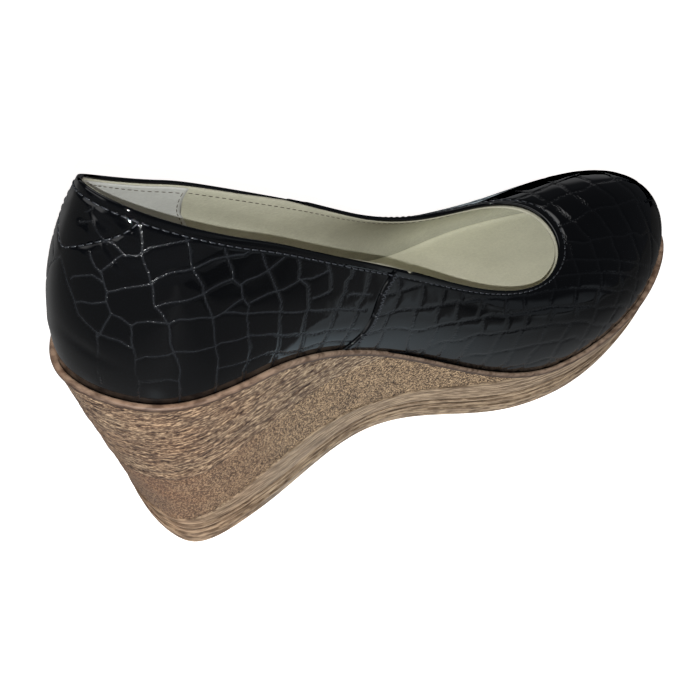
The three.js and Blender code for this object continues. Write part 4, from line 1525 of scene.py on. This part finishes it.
def axes_of(azimuth, elevation, roll):
    """Aim, right and up of a rectangle at an azimuth from +X and an elevation, turned by roll."""
    a, e, r = np.radians([azimuth, elevation, roll])
    aim = np.array([np.cos(a) * np.cos(e), np.sin(a) * np.cos(e), np.sin(e)])
    right = unit(np.cross(aim, [0, 0, 1.0]))
    up = np.cross(right, aim)
    return aim, right * np.cos(r) + up * np.sin(r), up * np.cos(r) - right * np.sin(r)


# The lit part of the mirrored table, in metres of the last's own frame
LIT_FROM = (33 * MM, 47 * MM)  # it begins where x + y is this, close by and farther off
LIT_FROM_Y = (-98 * MM, -112 * MM)  # and this is where one gives way to the other
LIT = (.6, .36)  # brightness of its two parts, the one close by and the wide one
LIT_REACH = (25 * MM, 50 * MM)  # over which each of them dies away
NEAR_PART_Y = (-90 * MM, -50 * MM)  # the first of them sets in over this
LIT_END_Y = (-20 * MM, 10 * MM)  # and both end over this
SOFTNESS = ((-240 * MM, -120 * MM), (35 * MM, 3 * MM))  # y, and how soft the straight edge is there
SLOPES = (  # brightness that changes with x: from and to in mm, and the brightness there
    (-150, -30, .15, .25), (-20, 60, 0, -.11), (180, 260, 0, -.08))
DARK_SIDE = ((60 * MM, 140 * MM), (20 * MM, 60 * MM), -.1)  # x and y over which it gets this much darker
# x, y and radius in mm, and brightness
TABLE_SPOTS = (
    (-28, 10, 15, .35), (-12, -62, 12, .2), (35, -52, 9, .35), (235, 90, 18, .6), (620, -450, 220, .15))
MIRROR_DEPTH = 1 * MM  # below the floor


def dies_away(tree, distance, reach):
    """e^(-distance / reach)."""
    return calc(tree, "POWER", 2.718, calc(tree, "DIVIDE", distance, -reach))


def lit_part(tree, x, y):
    """Brightness past a straight edge, sum of bright e^(-distance / reach), with a soft start."""
    edge = spread(tree, y, LIT_FROM_Y[1], LIT_FROM_Y[0], LIT_FROM[1], LIT_FROM[0])
    past = times(tree, calc(tree, "SUBTRACT", plus(tree, x, y), edge), .7071)
    near, wide = (calc(tree, "MINIMUM", dies_away(tree, past, reach), 1.0) for reach in LIT_REACH)
    lit = plus(tree, times(tree, near, spread(tree, y, *NEAR_PART_Y, 0, LIT[0])), times(tree, wide, LIT[1]))
    lit = times(tree, lit, spread(tree, past, 0, spread(tree, y, *SOFTNESS[0], *SOFTNESS[1])))
    return times(tree, lit, spread(tree, y, *LIT_END_Y, 1, 0))


def lit_spot(tree, x, y, spot):
    """Brightness of one round spot: bright e^(-(distance / radius)^2)."""
    middle_x, middle_y, radius, bright = spot
    far_x = calc(tree, "SUBTRACT", x, middle_x * MM)
    far_y = calc(tree, "SUBTRACT", y, middle_y * MM)
    squared = plus(tree, times(tree, far_x, far_x), times(tree, far_y, far_y))
    return times(tree, dies_away(tree, squared, (radius * MM)**2), bright)


def table_in_the_mirror():
    """The table as the lacquer mirrors it: grey, with a lit part past a straight edge that starts by the
    waist, brightest at that edge. Only mirror rays see it, and the floor is hidden from them."""
    material = bpy.data.materials.new("table as the lacquer mirrors it")
    material.use_nodes = True
    tree = material.node_tree
    tree.nodes.remove(tree.nodes["Principled BSDF"])
    parts = object_parts(tree)
    x, y = (calc(tree, "SUBTRACT", parts[key], place) for key, place in zip("XY", PLACE))
    lit = plus(tree, lit_part(tree, x, y), *(lit_spot(tree, x, y, spot) for spot in TABLE_SPOTS))
    grey = [spread(tree, x, low * MM, high * MM, *bright) for low, high, *bright in SLOPES]
    over_x, over_y, darker = DARK_SIDE
    dark_side = times(tree, spread(tree, x, *over_x), spread(tree, y, *over_y, 0, darker))
    total = plus(tree, *grey, dark_side, lit)
    colour = blend(tree, times(tree, lit, 2.0, clamp=True), (1, 1, 1, 1), (.84, 1, 1.1, 1))
    glow = add(tree, "ShaderNodeEmission", {"Color": colour, "Strength": total})
    feed(tree, tree.nodes["Material Output"], {"Surface": glow.outputs[0]})
    return material


mirrored_table = sheet_of_floor("mirrored_table", table_in_the_mirror())
mirrored_table.location.z = -MIRROR_DEPTH
for ray in ("camera", "diffuse", "shadow", "transmission"):
    setattr(mirrored_table, f"visible_{ray}", False)


ROOM_LIGHT = (.27, .235, .22, 1)
DARK_ROOM = (.055, .058, .065, 1)


def make_world():
    """Camera rays see white, diffuse rays a soft grey, and mirror rays the bright things in the dark."""
    world = bpy.data.worlds.new("room")
    bpy.context.scene.world = world
    world.use_nodes = True
    tree = world.node_tree
    direction = add(tree, "ShaderNodeTexCoord").outputs["Generated"]
    soft_box = soft_box_group()
    mirrored = DARK_ROOM
    for name, azimuth, elevation, roll, wide, high, softness, bright, tint in BRIGHT_THINGS:
        aim, right, up = axes_of(azimuth, elevation, roll)
        mask = add(tree, "ShaderNodeGroup", {
            "Direction": direction, "Aim": tuple(aim), "Right": tuple(right), "Up": tuple(up),
            "Half width": wide, "Half height": high, "Softness": softness}, node_tree=soft_box)
        mask.label = name
        light = tuple(bright * c for c in tint)
        lit = add(tree, "ShaderNodeVectorMath", {0: light, "Scale": mask.outputs[0]}, operation="SCALE")
        mirrored = blend(tree, 1.0, mirrored, lit.outputs[0], "ADD")
    kind = add(tree, "ShaderNodeLightPath").outputs
    seen = blend(tree, kind["Is Glossy Ray"], ROOM_LIGHT, mirrored)
    seen = blend(tree, kind["Is Camera Ray"], seen, (1, 1, 1, 1))
    feed(tree, tree.nodes["Background"], {"Color": seen})


make_world()
bpy.context.scene.view_settings.view_transform = "Standard"
